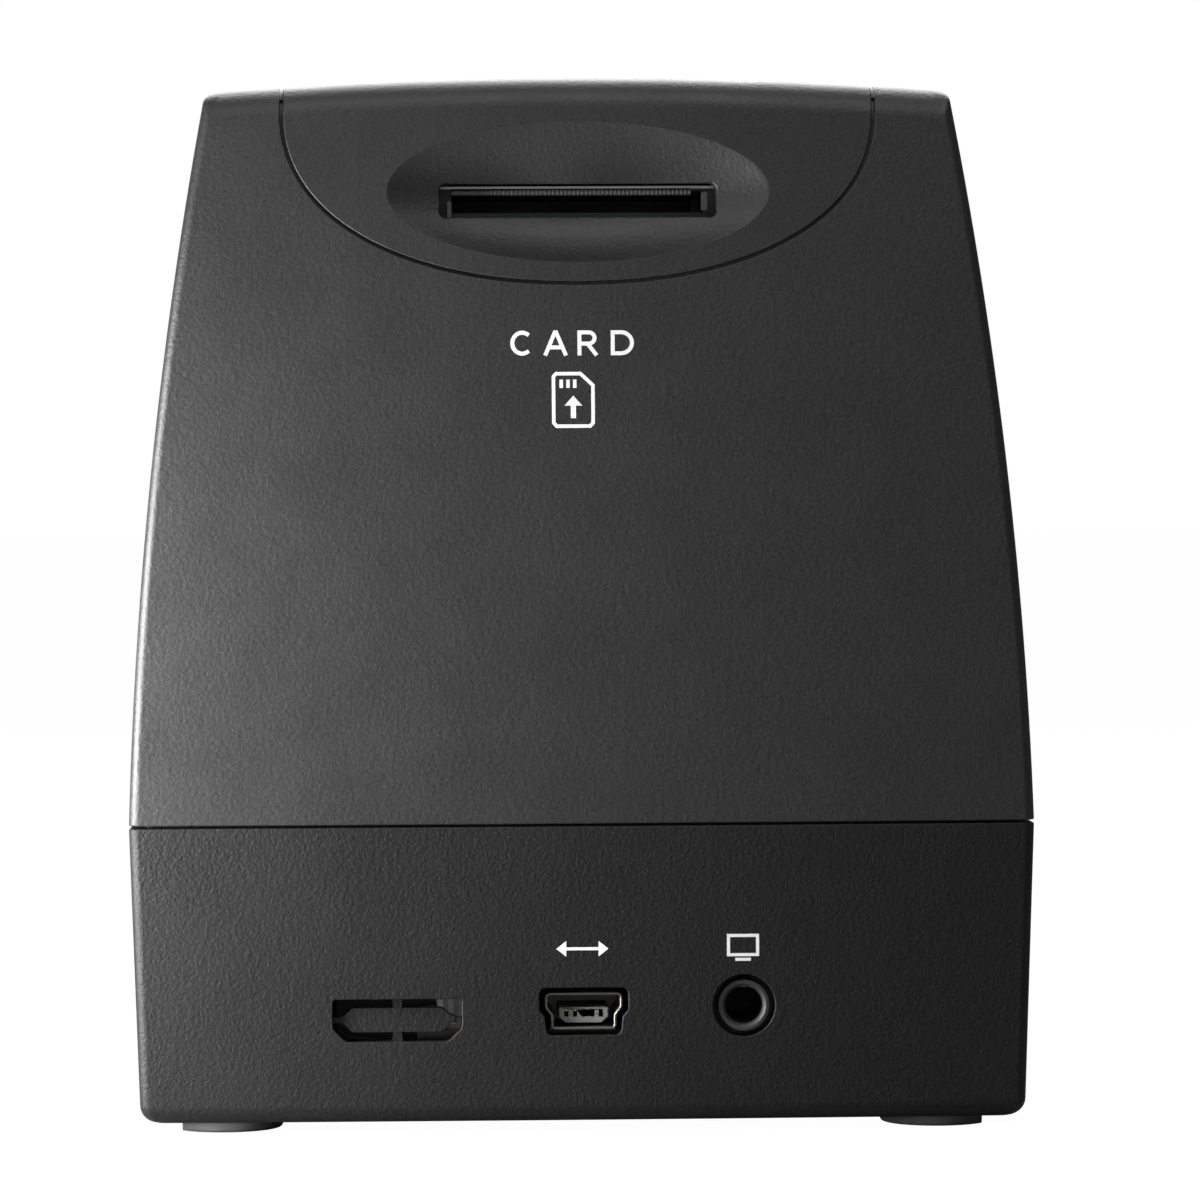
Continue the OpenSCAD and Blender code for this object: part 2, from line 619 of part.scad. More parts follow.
card_stop = 2.2;    // wall of the carrier behind the card
module card_socket_body() color([0.06, 0.06, 0.06]) difference() {
    w = socket_w - 2 * socket_t - 0.1;
    h = socket_h - socket_t - 0.05;
    l = socket_l - 1;
    box(0, socket_y - carrier_in - l / 2, card_z, w, l, h);
    translate([-card_w / 2, socket_y - carrier_in - l + card_stop, card_z + card_floor]) cube([card_w, l, h]);
    translate([-card_w / 2 - slider_w - 2 * slide, slider_y - slider_travel - fit, card_z + card_floor])
        cube([2 * slider_w, slider_l + slider_travel + 2 * fit, h]);
}
contact_w = 1;
contact_l = 8;
module card_contacts() color([0.85, 0.7, 0.3]) for (i = [-4:4]) let (x = (2.5 * i - 0.5) * contact_w)
    translate([x, socket_y - carrier_in - socket_l + card_stop + 1.4, card_z + card_floor])
        cube([contact_w, contact_l, 0.25 * contact_w]);
module card_slider() color([0.1, 0.1, 0.1])
    translate([-card_w / 2 - slider_w - slide, slider_y, card_z + card_floor + slide]) {
        cube([slider_w, slider_l, slider_h]);
        cube([2 * slider_w, 2 * slider_w, slider_h]);
    }

// ---- camera ----

cone_top = 46;
cone_low_r = 27;
cone_top_r = 12;
cone_t = 2;
cover_l = 66;       // length of the camera base along the channel
holder_top = 58;
holder_t = 2.4;
barrel_r = 6;
barrel_t = 1.4;
barrel_in = 3;      // how far the barrel reaches into the cone
camera_lug = [22, rail_out + lug_r - fit];
module camera_base() color([0.1, 0.1, 0.1]) difference() {
    union() {
        box(0, 0, cover_z, cover_l, 2 * rail_out, cover_t);
        corners() tube_z(camera_lug.x, camera_lug.y, cover_z, lug_r, cover_t);
        translate([0, 0, cover_z]) cylinder(h = cone_top - cover_z, r1 = cone_low_r, r2 = cone_top_r);
    }
    translate([0, 0, cover_z - 0.01])
        cylinder(h = cone_top - cone_t - cover_z, r1 = cone_low_r - cone_t, r2 = cone_top_r - cone_t);
    tube_z(0, 0, cone_top - cone_t - cut, barrel_r + 1.6, cone_t + 2 * cut);
    corners() pin_hole(camera_lug, cover_z, cover_t);
}
module lens_holder() color([0.09, 0.09, 0.09]) difference() {
    union() {
        tube_z(0, 0, cone_top, cone_top_r - 0.5, 2);
        tube_z(0, 0, cone_top, barrel_r + holder_t, holder_top - cone_top);
    }
    tube_z(0, 0, cone_top - cut, barrel_r + slide, holder_top - cone_top + 2 * cut);
}
module lens_barrel() color([0.16, 0.16, 0.16]) difference() {
    tube_z(0, 0, cone_top - barrel_in, barrel_r, holder_top - cone_top);
    tube_z(0, 0, cone_top - barrel_in - cut, barrel_r - barrel_t, holder_top - cone_top + 2 * cut);
}
lens_round = 10;    // radius of the lens's upper face
lens_t = 3;
module lens_glass() color([0.6, 0.75, 0.85, 0.6]) translate([0, 0, cone_top - lens_t / 2]) intersection() {
    cylinder(h = lens_t, r = barrel_r - barrel_t - 0.05);
    translate([0, 0, lens_t - lens_round]) sphere(r = lens_round, $fn = 64);
}
sensor_board_w = 26;
sensor_board_t = 1.2;
sensor_w = 8;
sensor_t = 1.1;
module sensor_board() color([0.05, 0.3, 0.15])
    box(0, 0, holder_top, sensor_board_w, sensor_board_w, sensor_board_t);
module image_sensor() color([0.2, 0.22, 0.3])
    box(0, 0, holder_top - sensor_t, sensor_w, sensor_w, sensor_t);

// ---- film channel and light ----

detent_x = -2;
detent_y = rail_out + 2.2;
detent_pin_r = 1.1;
detent_span = 13;   // pivot to nose
detent_low = bed_z + detent_pin_r + 0.5;
detent_h = channel_h - 3.2;
arm_t = 1.6;
nose_r = 1.5;
nose_y = channel_w / 2 - detent_in + nose_r;
arm_seat_r = 2;     // shoulder under the arm
module film_bed() color([0.16, 0.16, 0.17]) difference() {
    low = bed_z - bed_t;
    union() {
        box(0, 0, low, bed_l, 2 * rail_out, bed_t);
        mirrored_y() box(0, rail_y + rail_t / 2, low, bed_l, rail_t, bed_t + channel_h);
        corners() {
            tube_z(camera_lug.x, camera_lug.y, low, lug_r, bed_t + channel_h);
            box(camera_lug.x, rail_out, low, 1.6 * lug_r, lug_r, bed_t + channel_h);
        }
        box(detent_x, detent_y - 0.6, low, 3 * arm_seat_r, 2.8 * arm_seat_r, bed_t);
        tube_z(detent_x, detent_y, low, detent_pin_r, bed_t + channel_h - 1.4);
        tube_z(detent_x, detent_y, low, arm_seat_r, detent_low - low - 0.2);
    }
    box(0, 0, low - cut, gate_w, gate_d, bed_t + 2 * cut);
    corners() {
        pin_hole(bed_post, low, bed_t);
        tube_z(bed_post.x, bed_post.y, bed_z - pin_head_h - slide, pin_head_r + slide, pin_head_h + cut);
        tube_z(camera_lug.x, camera_lug.y, cover_z - pin_l + cover_t - fit, pin_r, pin_l);
    }
    box(detent_x - detent_span, rail_y + rail_t / 2, bed_z + 1, 3 * nose_r + 2 * fit, 2 * rail_t,
        channel_h - 2);
}
module detent_arm() color([0.75, 0.75, 0.77]) difference() {
    tip_x = detent_x - detent_span;
    union() {
        tube_z(detent_x, detent_y, detent_low, 1.9, detent_h);
        translate([tip_x - nose_r, detent_y - arm_t / 2, detent_low])
            cube([detent_span + nose_r, arm_t, detent_h]);
        tube_z(tip_x, nose_y, detent_low, nose_r, detent_h);
        translate([tip_x - nose_r, nose_y, detent_low]) cube([2 * nose_r, detent_y - nose_y, detent_h]);
    }
    tube_z(detent_x, detent_y, detent_low - cut, detent_pin_r + slide, detent_h + 2 * cut);
}
led_z = floor_z + 2;
lamp_t = 3;         // wall of the light box
diffuser_t = 1.5;
diffuser_seat = 1.4;
diffuser_w = lamp_w - 2 * lamp_t + 2 * diffuser_seat;
diffuser_d = lamp_d - 2 * lamp_t + 2 * diffuser_seat;
lamp_top = bed_z - bed_t - fit;
led_w = 5;
led_t = 1.5;
led_pitch = 13;
led_link_h = 0.9;
module led_board() color([0.9, 0.9, 0.88]) {
    box(0, 0, led_z, lamp_w + 2, lamp_d + 2, board_t);
    box(led_link_x, led_link_y - 0.6, led_z, 8, 3.6, board_t);
}
module leds() color([0.95, 0.9, 0.5]) for (i = [-1:1])
    box(i * led_pitch, 0, led_z + board_t, led_w, led_w, led_t);
module light_box() color([0.95, 0.95, 0.93]) difference() {
    z = led_z + board_t;
    box(0, 0, z, lamp_w, lamp_d, lamp_top - z);
    box(0, 0, z - cut, lamp_w - 2 * lamp_t, lamp_d - 2 * lamp_t, lamp_top);
    box(0, 0, lamp_top - diffuser_t, diffuser_w, diffuser_d, diffuser_t + cut);
}
module diffuser() color([0.97, 0.97, 0.97, 0.8]) box(0, 0, lamp_top - diffuser_t,
    diffuser_w - 2 * slide, diffuser_d - 2 * slide, diffuser_t);

// ---- socket board ----

module io_board() color([0.05, 0.3, 0.15]) difference() {
    translate([io_x[0], io_y[0], io_z - board_t]) cube([io_x[1] - io_x[0], io_y[1] - io_y[0], board_t]);
    for (p = io_posts) pin_hole(p, io_z - board_t, board_t);
}
mini_l = 9;
mini_face = back_y(mini_z) - 0.5;
shell_t = 0.3;
module mini_socket_shell() color([0.8, 0.8, 0.8]) {
    back = mini_face - mini_l;
    leg = 2 * shell_t;
    difference() {
        along_y(back, mini_face) translate([0, mini_z]) mini_outline(0);
        along_y(back + leg, mini_face + cut) translate([0, mini_z]) mini_outline(-shell_t);
    }
    mirrored_x() box(mini_w / 2 - leg, mini_face - mini_l / 2, io_z, leg, 2, mini_lift + shell_t);
}
tongue_w = 4.8;
tongue_h = 1.5;
pin_pitch = 0.8;
module mini_socket_tongue() color([0.45, 0.45, 0.45]) difference() {
    w = tongue_w / 2;
    along_y(mini_face - mini_l + 2 * shell_t, mini_face - 3 * shell_t) translate([0, mini_z - 1.2])
        polygon([[w, tongue_h], [-w, tongue_h], [-w, tongue_h / 3], [tongue_h / 3 - w, 0],
            [w - tongue_h / 3, 0], [w, tongue_h / 3]]);
    for (i = [-2:2]) translate([(i - 0.25) * pin_pitch, mini_face - mini_l + 2, mini_z - 1.2 + 0.3])
        cube([pin_pitch / 2, mini_l, tongue_h]);
}
jack_l = 12;
jack_w = 6;
jack_front = io_back + 0.4 - jack_l;
module jack_body() color([0.08, 0.08, 0.08]) difference() {
    union() {
        translate([jack_x - jack_w / 2, jack_front, io_z]) cube([jack_w, jack_l, 2 * jack_nose_r]);
        along_y(io_back, back_y(jack_z) - 0.4) translate([jack_x, jack_z]) circle(jack_nose_r);
    }
    along_y(jack_front + 1, body_d) translate([jack_x, jack_z]) circle(jack_bore_r);
}

// ---- boards, ribbons and screws of the tower ----

main_board_z = [37, card_z - board_t - 2.6];
module main_board() color([0.05, 0.3, 0.15]) difference() {
    translate([-main_board_w / 2, main_y, main_board_z[0]])
        cube([main_board_w, board_t, main_board_z[1] - main_board_z[0]]);
    mirrored_x() for (z = [main_low, main_high]) translate([main_x, 0, z])
        along_y(main_y - cut, main_y + board_t + cut) circle(pin_r + slide);
}
// chips on the main board: place across and up, width, height, thickness
chips = [[-8, 54, 12, 12, 1.2], [10, 60, 8, 14, 1], [10, 44, 10, 6, 1.6], [-20, 66, 5, 5, 1.6]];
capacitor_x = [-21, -15];
capacitor_z = 46;
capacitor_r = 2.5;
capacitor_l = 7;
module board_chips() color([0.07, 0.07, 0.08]) {
    for (c = chips) translate([c[0] - c[2] / 2, main_y - c[4], c[1] - c[3] / 2]) cube([c[2], c[4], c[3]]);
    for (x = capacitor_x) translate([x, 0, capacitor_z])
        along_y(main_y - capacitor_l, main_y) circle(capacitor_r);
}
ribbon_t = 0.3;
ribbon_w = 9;
// side view of a ribbon: [y, z] points of its middle line
function normal(p, q) = let (v = (q - p) / norm(q - p)) [-v.y, v.x];
function ribbon_side(pts, g) = [for (i = [0:len(pts) - 1])
    let (a = normal(pts[max(0, i - 1)], pts[max(1, i)]), last = len(pts) - 1,
        b = normal(pts[min(i, last - 1)], pts[min(i + 1, last)]), m = (a + b) / (1 + a * b)) pts[i] + g * m];
function backwards(v) = [for (i = [len(v) - 1:-1:0]) v[i]];
module ribbon(x, w, pts) color([0.9, 0.9, 0.92]) translate([x - w / 2, 0, 0]) rotate([90, 0, 90])
    linear_extrude(w)
        polygon(concat(ribbon_side(pts, ribbon_t / 2), backwards(ribbon_side(pts, -ribbon_t / 2))));
io_link_x = 9.6;
io_link_y = io_back - 4.4;
main_link_z = 38;
sensor_link_y = 10.6;
sensor_link_z = 62.4;
front_link_x = -16;
front_link_s = 52;
front_link_z = 76;
// place of a point of the front as [y, z]
function front_at(s, d) = [front_y(parting_z) + s * sin(front_lean) + d * cos(front_lean),
    parting_z + s * cos(front_lean) - d * sin(front_lean)];
front_start = front_at(front_link_s, front_d + board_t + link_h) + [0.12, 0];
module connectors() color([0.93, 0.91, 0.85]) {
    box(io_link_x, io_link_y, io_z, link_w, link_d, link_h);
    box(io_link_x, main_y + board_t + link_h / 2, main_link_z, link_w, link_h, 5);
    for (c = [[0, sensor_link_z], [front_link_x, front_link_z]])
        box(c[0], main_y - link_h / 2, c[1] - link_d / 2, link_w, link_h, link_d);
    box(0, sensor_link_y, holder_top + sensor_board_t, link_w, link_d, link_h);
    on_front(front_link_x, front_link_s, front_d + board_t + link_h) box(0, 0, 0, link_w, link_d, link_h);
    box(0, main_y + board_t / 2, main_board_z[1], 20, 2.5, card_z - board_t - main_board_z[1]);
    box(led_link_x, led_link_y, led_z + board_t, 6, 2.4, led_link_h);
    box(led_link_x, io_y[0] + 1.8, io_z, 6, 3, 1.6);
}
module io_ribbon() let (y = io_link_y + link_d / 2 + 0.1, end = main_y + board_t + link_h / 2)
    ribbon(io_link_x, ribbon_w, [[y, io_z + 1], [y + 0.7, io_z + 1.3], [y + 1, io_z + 3],
        [y + 1, parting_z - 5.6], [y + 0.7, parting_z + 0.4], [end + 0.9, parting_z + 4.4],
        [end, main_link_z - 0.1]]);
module sensor_ribbon() let (y = sensor_link_y + link_d / 2 + 0.1, z = holder_top + sensor_board_t + 1)
    ribbon(0, ribbon_w, [[y, z], [(y + main_y) / 2 - 2.5, z + 0.2],
        [main_y - 6.6, sensor_link_z], [main_y - link_h - 0.1, sensor_link_z]]);
module front_ribbon() ribbon(front_link_x, ribbon_w, [front_start, [front_start.x + 8.7, front_link_z + 3.4],
    [(front_start.x + main_y) / 2, front_link_z + 4.4], [main_y - 12.6, front_link_z + 3.4],
    [main_y - 5.6, front_link_z], [main_y - link_h - 0.1, front_link_z]]);
module led_ribbon() let (y = led_link_y + 1.3, z = led_z + board_t + led_link_h / 2)
    ribbon(led_link_x, 5, [[y, z], [y + 0.9, z + 0.1],
        [io_y[0] - 0.5, io_z + 0.8], [io_y[0] + 0.2, io_z + 0.8]]);
module pin_screw() {
    translate([0, 0, -pin_l]) cylinder(h = pin_l, r = pin_r - 0.03);
    cylinder(h = pin_head_h, r = pin_head_r);
}
module board_screws() color("silver") {
    corners() {
        translate([bed_post.x, bed_post.y, bed_z - pin_head_h - slide]) pin_screw();
        translate([camera_lug.x, camera_lug.y, cover_z + cover_t]) pin_screw();
    }
    at([for (p = io_posts) [p.x, p.y, io_z]]) pin_screw();
    at([for (x = [-main_x, main_x]) for (z = [main_low, main_high]) [x, main_y, z]])
        rotate([90, 0, 0]) pin_screw();
    mirrored_x() {
        for (p = front_studs) on_front(p.x, p.y, front_d + board_t) rotate([180, 0, 0]) pin_screw();
        at([for (p = card_studs) [p.x, p.y, card_z - board_t]]) rotate([180, 0, 0]) pin_screw();
        translate([power_stud, power_y, power_z - board_t])
            rotate([180, 0, 0]) scale(power_pin) pin_screw();
    }
}

base_shell();
tower_shell();
top_panel();
display_window();
display_glass();
display_frame();
front_board();
tact_switches();
mode_button();
left_button();
ok_button();
right_button();
copy_button();
power_button();
power_board();
power_switch();
card_board();
card_socket_shell();
card_socket_body();
card_contacts();
card_slider();
camera_base();
lens_holder();
lens_barrel();
lens_glass();
sensor_board();
image_sensor();
film_bed();
detent_arm();
diffuser();
light_box();
led_board();
leds();
io_board();
mini_socket_shell();
mini_socket_tongue();
jack_body();
main_board();
board_chips();
connectors();
io_ribbon();
sensor_ribbon();
front_ribbon();
led_ribbon();
case_screws();
board_screws();
foot_back_left();
foot_back_right();
foot_front_left();
foot_front_right();
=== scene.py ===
import math

import bpy
import numpy as np
from mathutils import Matrix, Vector
from mathutils.bvhtree import BVHTree


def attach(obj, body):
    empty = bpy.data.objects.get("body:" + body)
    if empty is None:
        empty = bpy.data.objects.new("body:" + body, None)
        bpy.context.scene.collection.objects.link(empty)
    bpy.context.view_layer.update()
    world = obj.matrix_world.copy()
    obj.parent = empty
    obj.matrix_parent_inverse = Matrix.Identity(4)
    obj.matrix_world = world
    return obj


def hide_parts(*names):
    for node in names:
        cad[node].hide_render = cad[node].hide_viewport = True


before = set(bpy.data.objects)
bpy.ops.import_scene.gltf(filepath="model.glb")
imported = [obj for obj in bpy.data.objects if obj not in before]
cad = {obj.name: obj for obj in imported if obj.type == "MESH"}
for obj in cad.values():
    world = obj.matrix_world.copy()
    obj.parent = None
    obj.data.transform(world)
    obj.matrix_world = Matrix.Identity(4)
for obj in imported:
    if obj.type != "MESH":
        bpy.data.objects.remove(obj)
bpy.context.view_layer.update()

# ---- Base shell ----
# The lower half of the housing: one moulding of black ABS, open at the top, with a lip inside its
# rim that the tower sits over. Bosses take the case screws, and posts carry the boards.

body_w, body_d, crown_z, parting_z = 87.0, 87.0, 101.5, 29.6
wall, seam, edge_r, bottom_r, least_r = 2.4, 0.25, 1.0, 1.8, 0.8
lip_h, lip_t, foot_h, parting_r = 1.4, 1.0, 1.0, 0.16
rim_z, eave_z, floor_z = parting_z - seam / 2, parting_z + seam / 2, foot_h + wall
corner_x, corner_y = 34.5, 34.8
# degrees that the walls lean, and how fast they curve: the larger, the flatter
draft, side_lean, back_lean, front_lean = 1.8, 1.75, 1.15, 15
side_curve, back_curve, back_bow = 914, 1666, 0.6


def slope(degrees):
    return math.tan(math.radians(degrees))


def half_w(z):
    """half the housing's width at height z: drafted under the parting line, leaning in above it"""
    over, under = np.maximum(0, z - parting_z), np.maximum(0, parting_z - z)
    return body_w / 2 - slope(side_lean) * over - over ** 2 / side_curve - slope(draft) * under


def back_y(z):
    over, under = np.maximum(0, z - parting_z), np.maximum(0, parting_z - z)
    return body_d / 2 - slope(back_lean) * over - over ** 2 / back_curve - slope(draft) * under


def front_y(z):
    over, under = np.maximum(0, z - parting_z), np.maximum(0, parting_z - z)
    return -body_d / 2 + slope(front_lean) * over + slope(draft) * under


def level(z, side_in, back_in, front_in, r, corner_steps=8, side_steps=22):
    """outline of the housing at height z, as points [x, y]: round corners and a slightly bowed back"""
    w, b, f = half_w(z) - side_in, back_y(z) - back_in, front_y(z) + front_in
    points = []
    for x, y, turn, goal in ((w - r, b - r, 0, (r - w, b)), (r - w, b - r, 90, (-w, f + r)),
                             (r - w, f + r, 180, (w - r, f)), (w - r, f + r, 270, (w, b - r))):
        for i in range(corner_steps + 1):
            a = math.radians(turn + 90 * i / corner_steps)
            points.append((x + r * math.cos(a), y + r * math.sin(a)))
        start, goal = np.array(points[-1]), np.array(goal)
        points += [start + (goal - start) * i / (side_steps + 1) for i in range(1, side_steps + 1)]
    points = np.array(points)
    towards_back = np.maximum(0, (2 * points[:, 1] - b - f) / (b - f))
    points[:, 1] -= back_bow * towards_back * (points[:, 0] / w) ** 2
    return points


def flat_ring(z, side_in, r=edge_r):
    points = level(z, side_in, side_in, side_in, r)
    return np.column_stack([points, np.full(len(points), z)])


def skinned(rings, loop=False):
    """solid through rings of as many points that faces outwards: closed by one face at each end, or by
    joining its last ring to its first"""
    n, points = len(rings[0]), np.concatenate([np.asarray(ring, float) for ring in rings])
    faces = []
    for i in range(len(rings) - (not loop)):
        here, there = i * n, (i + 1) % len(rings) * n
        faces += [(here + j, here + (j + 1) % n, there + (j + 1) % n, there + j) for j in range(n)]
    if not loop:
        faces += [tuple(range(n - 1, -1, -1)), tuple(range(len(points) - n, len(points)))]
    volume = sum(np.dot(points[f[0]], np.cross(points[f[i]], points[f[i + 1]]))
                 for f in faces for i in range(1, len(f) - 1))
    return points, faces if volume > 0 else [f[::-1] for f in faces]


def circle(x, y, r, steps=40):
    turn = np.radians(np.arange(steps) * 360 / steps)
    return np.column_stack([x + r * np.cos(turn), y + r * np.sin(turn)])


def upright(outline, low, high):
    """prism that stands on an outline of points [x, y]"""
    return skinned([np.column_stack([outline, np.full(len(outline), z)]) for z in (low, high)])


def along_y(outline, front, back):
    """prism along Y over an outline of points [x, z]"""
    return skinned([np.column_stack([outline[:, 0], np.full(len(outline), y), outline[:, 1]])
                    for y in (front, back)])


def rectangle(x0, x1, y0, y1):
    return np.array([(x0, y0), (x1, y0), (x1, y1), (x0, y1)], float)


def rounded(corners, r, steps=6):
    """polygon with each corner turned into an arc of radius r, or of its own radius where r is a list"""
    corners = np.asarray(corners, float)
    made = []
    for i, corner in enumerate(corners):
        own = r[i] if isinstance(r, (list, tuple)) else r
        a, b = corners[i - 1] - corner, corners[(i + 1) % len(corners)] - corner
        a, b = a / np.linalg.norm(a), b / np.linalg.norm(b)
        half = math.acos(np.clip(a @ b, -1, 1)) / 2
        middle = corner + (a + b) / np.linalg.norm(a + b) * own / math.sin(half)
        start, end = corner + a * own / math.tan(half) - middle, corner + b * own / math.tan(half) - middle
        way = np.sign(start[0] * end[1] - start[1] * end[0])
        turn = math.acos(np.clip(start @ end / (own * own), -1, 1)) * way
        for s in np.linspace(0, turn, steps + 1):
            made.append(middle + (start[0] * math.cos(s) - start[1] * math.sin(s),
                                  start[0] * math.sin(s) + start[1] * math.cos(s)))
    return np.array(made)


def grown(outline, by):
    """outline moved outwards; it runs anticlockwise"""
    before, after = np.roll(outline, 1, 0), np.roll(outline, -1, 0)
    a, b = outline - before, after - outline
    a, b = a / np.linalg.norm(a, axis=1)[:, None], b / np.linalg.norm(b, axis=1)[:, None]
    out = np.column_stack([a[:, 1] + b[:, 1], -a[:, 0] - b[:, 0]])
    length = np.linalg.norm(out, axis=1)[:, None]
    return outline + by * out / length / np.maximum(0.5, length / 2)


def piece_of(name, solids):
    """object in millimetres that holds these solids side by side"""
    points, faces, n = [], [], 0
    for p, f in solids:
        points.append(p)
        faces += [tuple(int(k) + n for k in face) for face in f]
        n += len(p)
    mesh = bpy.data.meshes.new(name)
    mesh.from_pydata(np.concatenate(points).tolist(), [], faces)
    piece = bpy.data.objects.new(name, mesh)
    bpy.context.scene.collection.objects.link(piece)
    return piece


def worked(piece):
    """turns a piece's modifiers into its mesh"""
    bpy.context.view_layer.update()
    old = piece.data
    made = bpy.data.meshes.new_from_object(piece.evaluated_get(bpy.context.evaluated_depsgraph_get()))
    piece.modifiers.clear()
    piece.data = made
    made.name = old.name
    bpy.data.meshes.remove(old)


def combine(piece, how, *solids):
    """joins solids to a piece, or cuts them out of it, one after another"""
    for solid in solids:
        other = solid if isinstance(solid, bpy.types.Object) else piece_of("tool", [solid])
        step = piece.modifiers.new("step", "BOOLEAN")
        step.operation, step.solver, step.object = how, "MANIFOLD", other
        worked(piece)
        old = other.data
        bpy.data.objects.remove(other)
        bpy.data.meshes.remove(old)
    return piece


def opening(outline, onto, depth, r, out=1.0, steps=4):
    """cutter for an opening whose edge at the skin is rounded by r; onto(u, v, out) gives the place of
    a point that stands out from the skin by out"""
    edge = [(-r * (1 - math.sin(a)), r * (1 - math.cos(a)))
            for a in np.radians(np.linspace(0, 90, steps + 1))]
    rings = [[onto(u, v, at) for u, v in (grown(outline, by) if by else outline)]
             for at, by in [(-depth, 0)] + edge + [(out, r)]]
    return skinned(rings)


def looking_forward(piece):
    """finds the skin of a piece as seen from behind: onto(x, z, out)"""
    mesh = piece.data
    tree = BVHTree.FromPolygons([v.co for v in mesh.vertices], [p.vertices for p in mesh.polygons])

    def onto(x, z, out):
        hit = tree.ray_cast(Vector((x, 90, z)), Vector((0, -1, 0)))[0]
        return (x, hit.y + out, z)
    return onto


def on_base_side(way):
    return lambda y, z, out: (way * (float(half_w(z)) + out), y, z)


def finished(piece, sharp=32):
    """smooth shading that keeps sharp edges, and the change to metres"""
    piece.data.shade_smooth()
    piece.data.set_sharp_from_angle(angle=math.radians(sharp))
    step = piece.modifiers.new("normals", "WEIGHTED_NORMAL")
    step.keep_sharp, step.weight = True, 50
    worked(piece)
    piece.data.transform(Matrix.Scale(0.001, 4))
    return piece


def fitted(piece, material, slot, *replaced, body="housing"):
    """gives a finished piece its material and its place in the frame"""
    piece.data.materials.clear()
    piece.data.materials.append(material)
    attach(piece, body)
    if replaced:
        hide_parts(*replaced)


def linear(code):
    """sRGB hex to the linear colour that a shader takes"""
    parts = [int(code[i:i + 2], 16) / 255 for i in (1, 3, 5)]
    return [c / 12.92 if c <= 0.04045 else ((c + 0.055) / 1.055) ** 2.4 for c in parts] + [1.0]


def add_node(material, kind, settings=None, links=None):
    """adds a node, sets its values and joins its inputs to the outputs of other nodes"""
    made = material.node_tree.nodes.new("ShaderNode" + kind)
    for name, value in (settings or {}).items():
        if isinstance(name, str) and hasattr(made, name):
            setattr(made, name, value)
        else:
            made.inputs[name].default_value = value
    for name, source in (links or {}).items():
        end = source if isinstance(source, bpy.types.NodeSocket) else source.outputs[0]
        material.node_tree.links.new(end, made.inputs[name])
    return made


def started(name, colour, rough, ior=1.5, metallic=0.0):
    """material with its shader, and the piece's own coordinates in millimetres"""
    material = bpy.data.materials.new(name)
    material.use_nodes = True
    material.diffuse_color = linear(colour)
    shader = material.node_tree.nodes["Principled BSDF"]
    shader.inputs["Base Color"].default_value = linear(colour)
    shader.inputs["Roughness"].default_value = rough
    shader.inputs["IOR"].default_value = ior
    shader.inputs["Metallic"].default_value = metallic
    place = add_node(material, "TexCoord")
    mm = add_node(material, "Mapping", {"Scale": (1000, 1000, 1000)}, {"Vector": place.outputs["Object"]})
    return material, shader, mm


def joined(material, shader, sources):
    """joins nodes, or outputs of nodes, to the shader's sockets and hands the material on"""
    for socket, source in sources.items():
        end = source if isinstance(source, bpy.types.NodeSocket) else source.outputs[0]
        material.node_tree.links.new(end, shader.inputs[socket])
    return material


def spark_eroded_abs(name, colour, pit_shade_colour, grain, depth, rough):
    """ABS moulded against a spark-eroded steel: a dull skin of fine craters, grain mm wide and depth mm
    deep, that breaks up every highlight into a soft sheen; the craters' low parts are painted darker, as
    painted shade. Real craters are several times finer, and are drawn coarser so that they show"""
    material, shader, mm = started(name, colour, rough, 1.53)
    craters = add_node(material, "TexNoise", {"Scale": 1 / grain, "Detail": 3.0, "Roughness": 0.62},
                       {"Vector": mm})
    pits = add_node(material, "TexVoronoi",
                    {"feature": "SMOOTH_F1", "Scale": 0.55 / grain, "Smoothness": 0.6}, {"Vector": mm})
    height = add_node(material, "Math", {"operation": "MULTIPLY_ADD", 1: 0.55}, {0: pits, 2: craters})
    cloud = add_node(material, "TexNoise", {"Scale": 0.12, "Detail": 2.0}, {"Vector": mm})
    dull = add_node(material, "MapRange", {"From Min": 0.35, "From Max": 0.65, "To Min": rough - 0.03,
                                           "To Max": rough + 0.03}, {"Value": cloud})
    # painted shade: where the craters lie low, the colour is tinted towards the darker one
    painted_pit_shade = add_node(material, "MapRange", {"From Min": 0.35, "From Max": 0.7}, {"Value": craters})
    tint = add_node(material, "Mix", {"data_type": "RGBA", 6: linear(pit_shade_colour), 7: linear(colour)}, {0: painted_pit_shade})
    bump = add_node(material, "Bump", {"Strength": 1.0, "Distance": depth * 0.001}, {"Height": height})
    return joined(material, shader, {"Base Color": tint.outputs[2], "Roughness": dull, "Normal": bump})


quarter = np.radians(np.linspace(0, 90, 9))
rings = [flat_ring(foot_h + bottom_r * (1 - math.cos(a)), bottom_r * (1 - math.sin(a))) for a in quarter]
rings += [flat_ring(z, 0) for z in (5, 8, 12, 16, 20, 24, 27)]
rings += [flat_ring(rim_z - parting_r * (1 - math.sin(a)), parting_r * (1 - math.cos(a)))
          for a in quarter[::2]]
rings += [flat_ring(rim_z, wall - lip_t, least_r), flat_ring(parting_z + lip_h - 0.15, wall - lip_t, least_r),
          flat_ring(parting_z + lip_h, wall - lip_t + 0.15, least_r),
          flat_ring(parting_z + lip_h, wall, least_r), flat_ring(parting_z, wall, least_r),
          flat_ring(floor_z + 0.6, wall, least_r), flat_ring(floor_z, wall + 0.6, least_r)]
base_shell = piece_of("base_shell_moulding", [skinned(rings)])

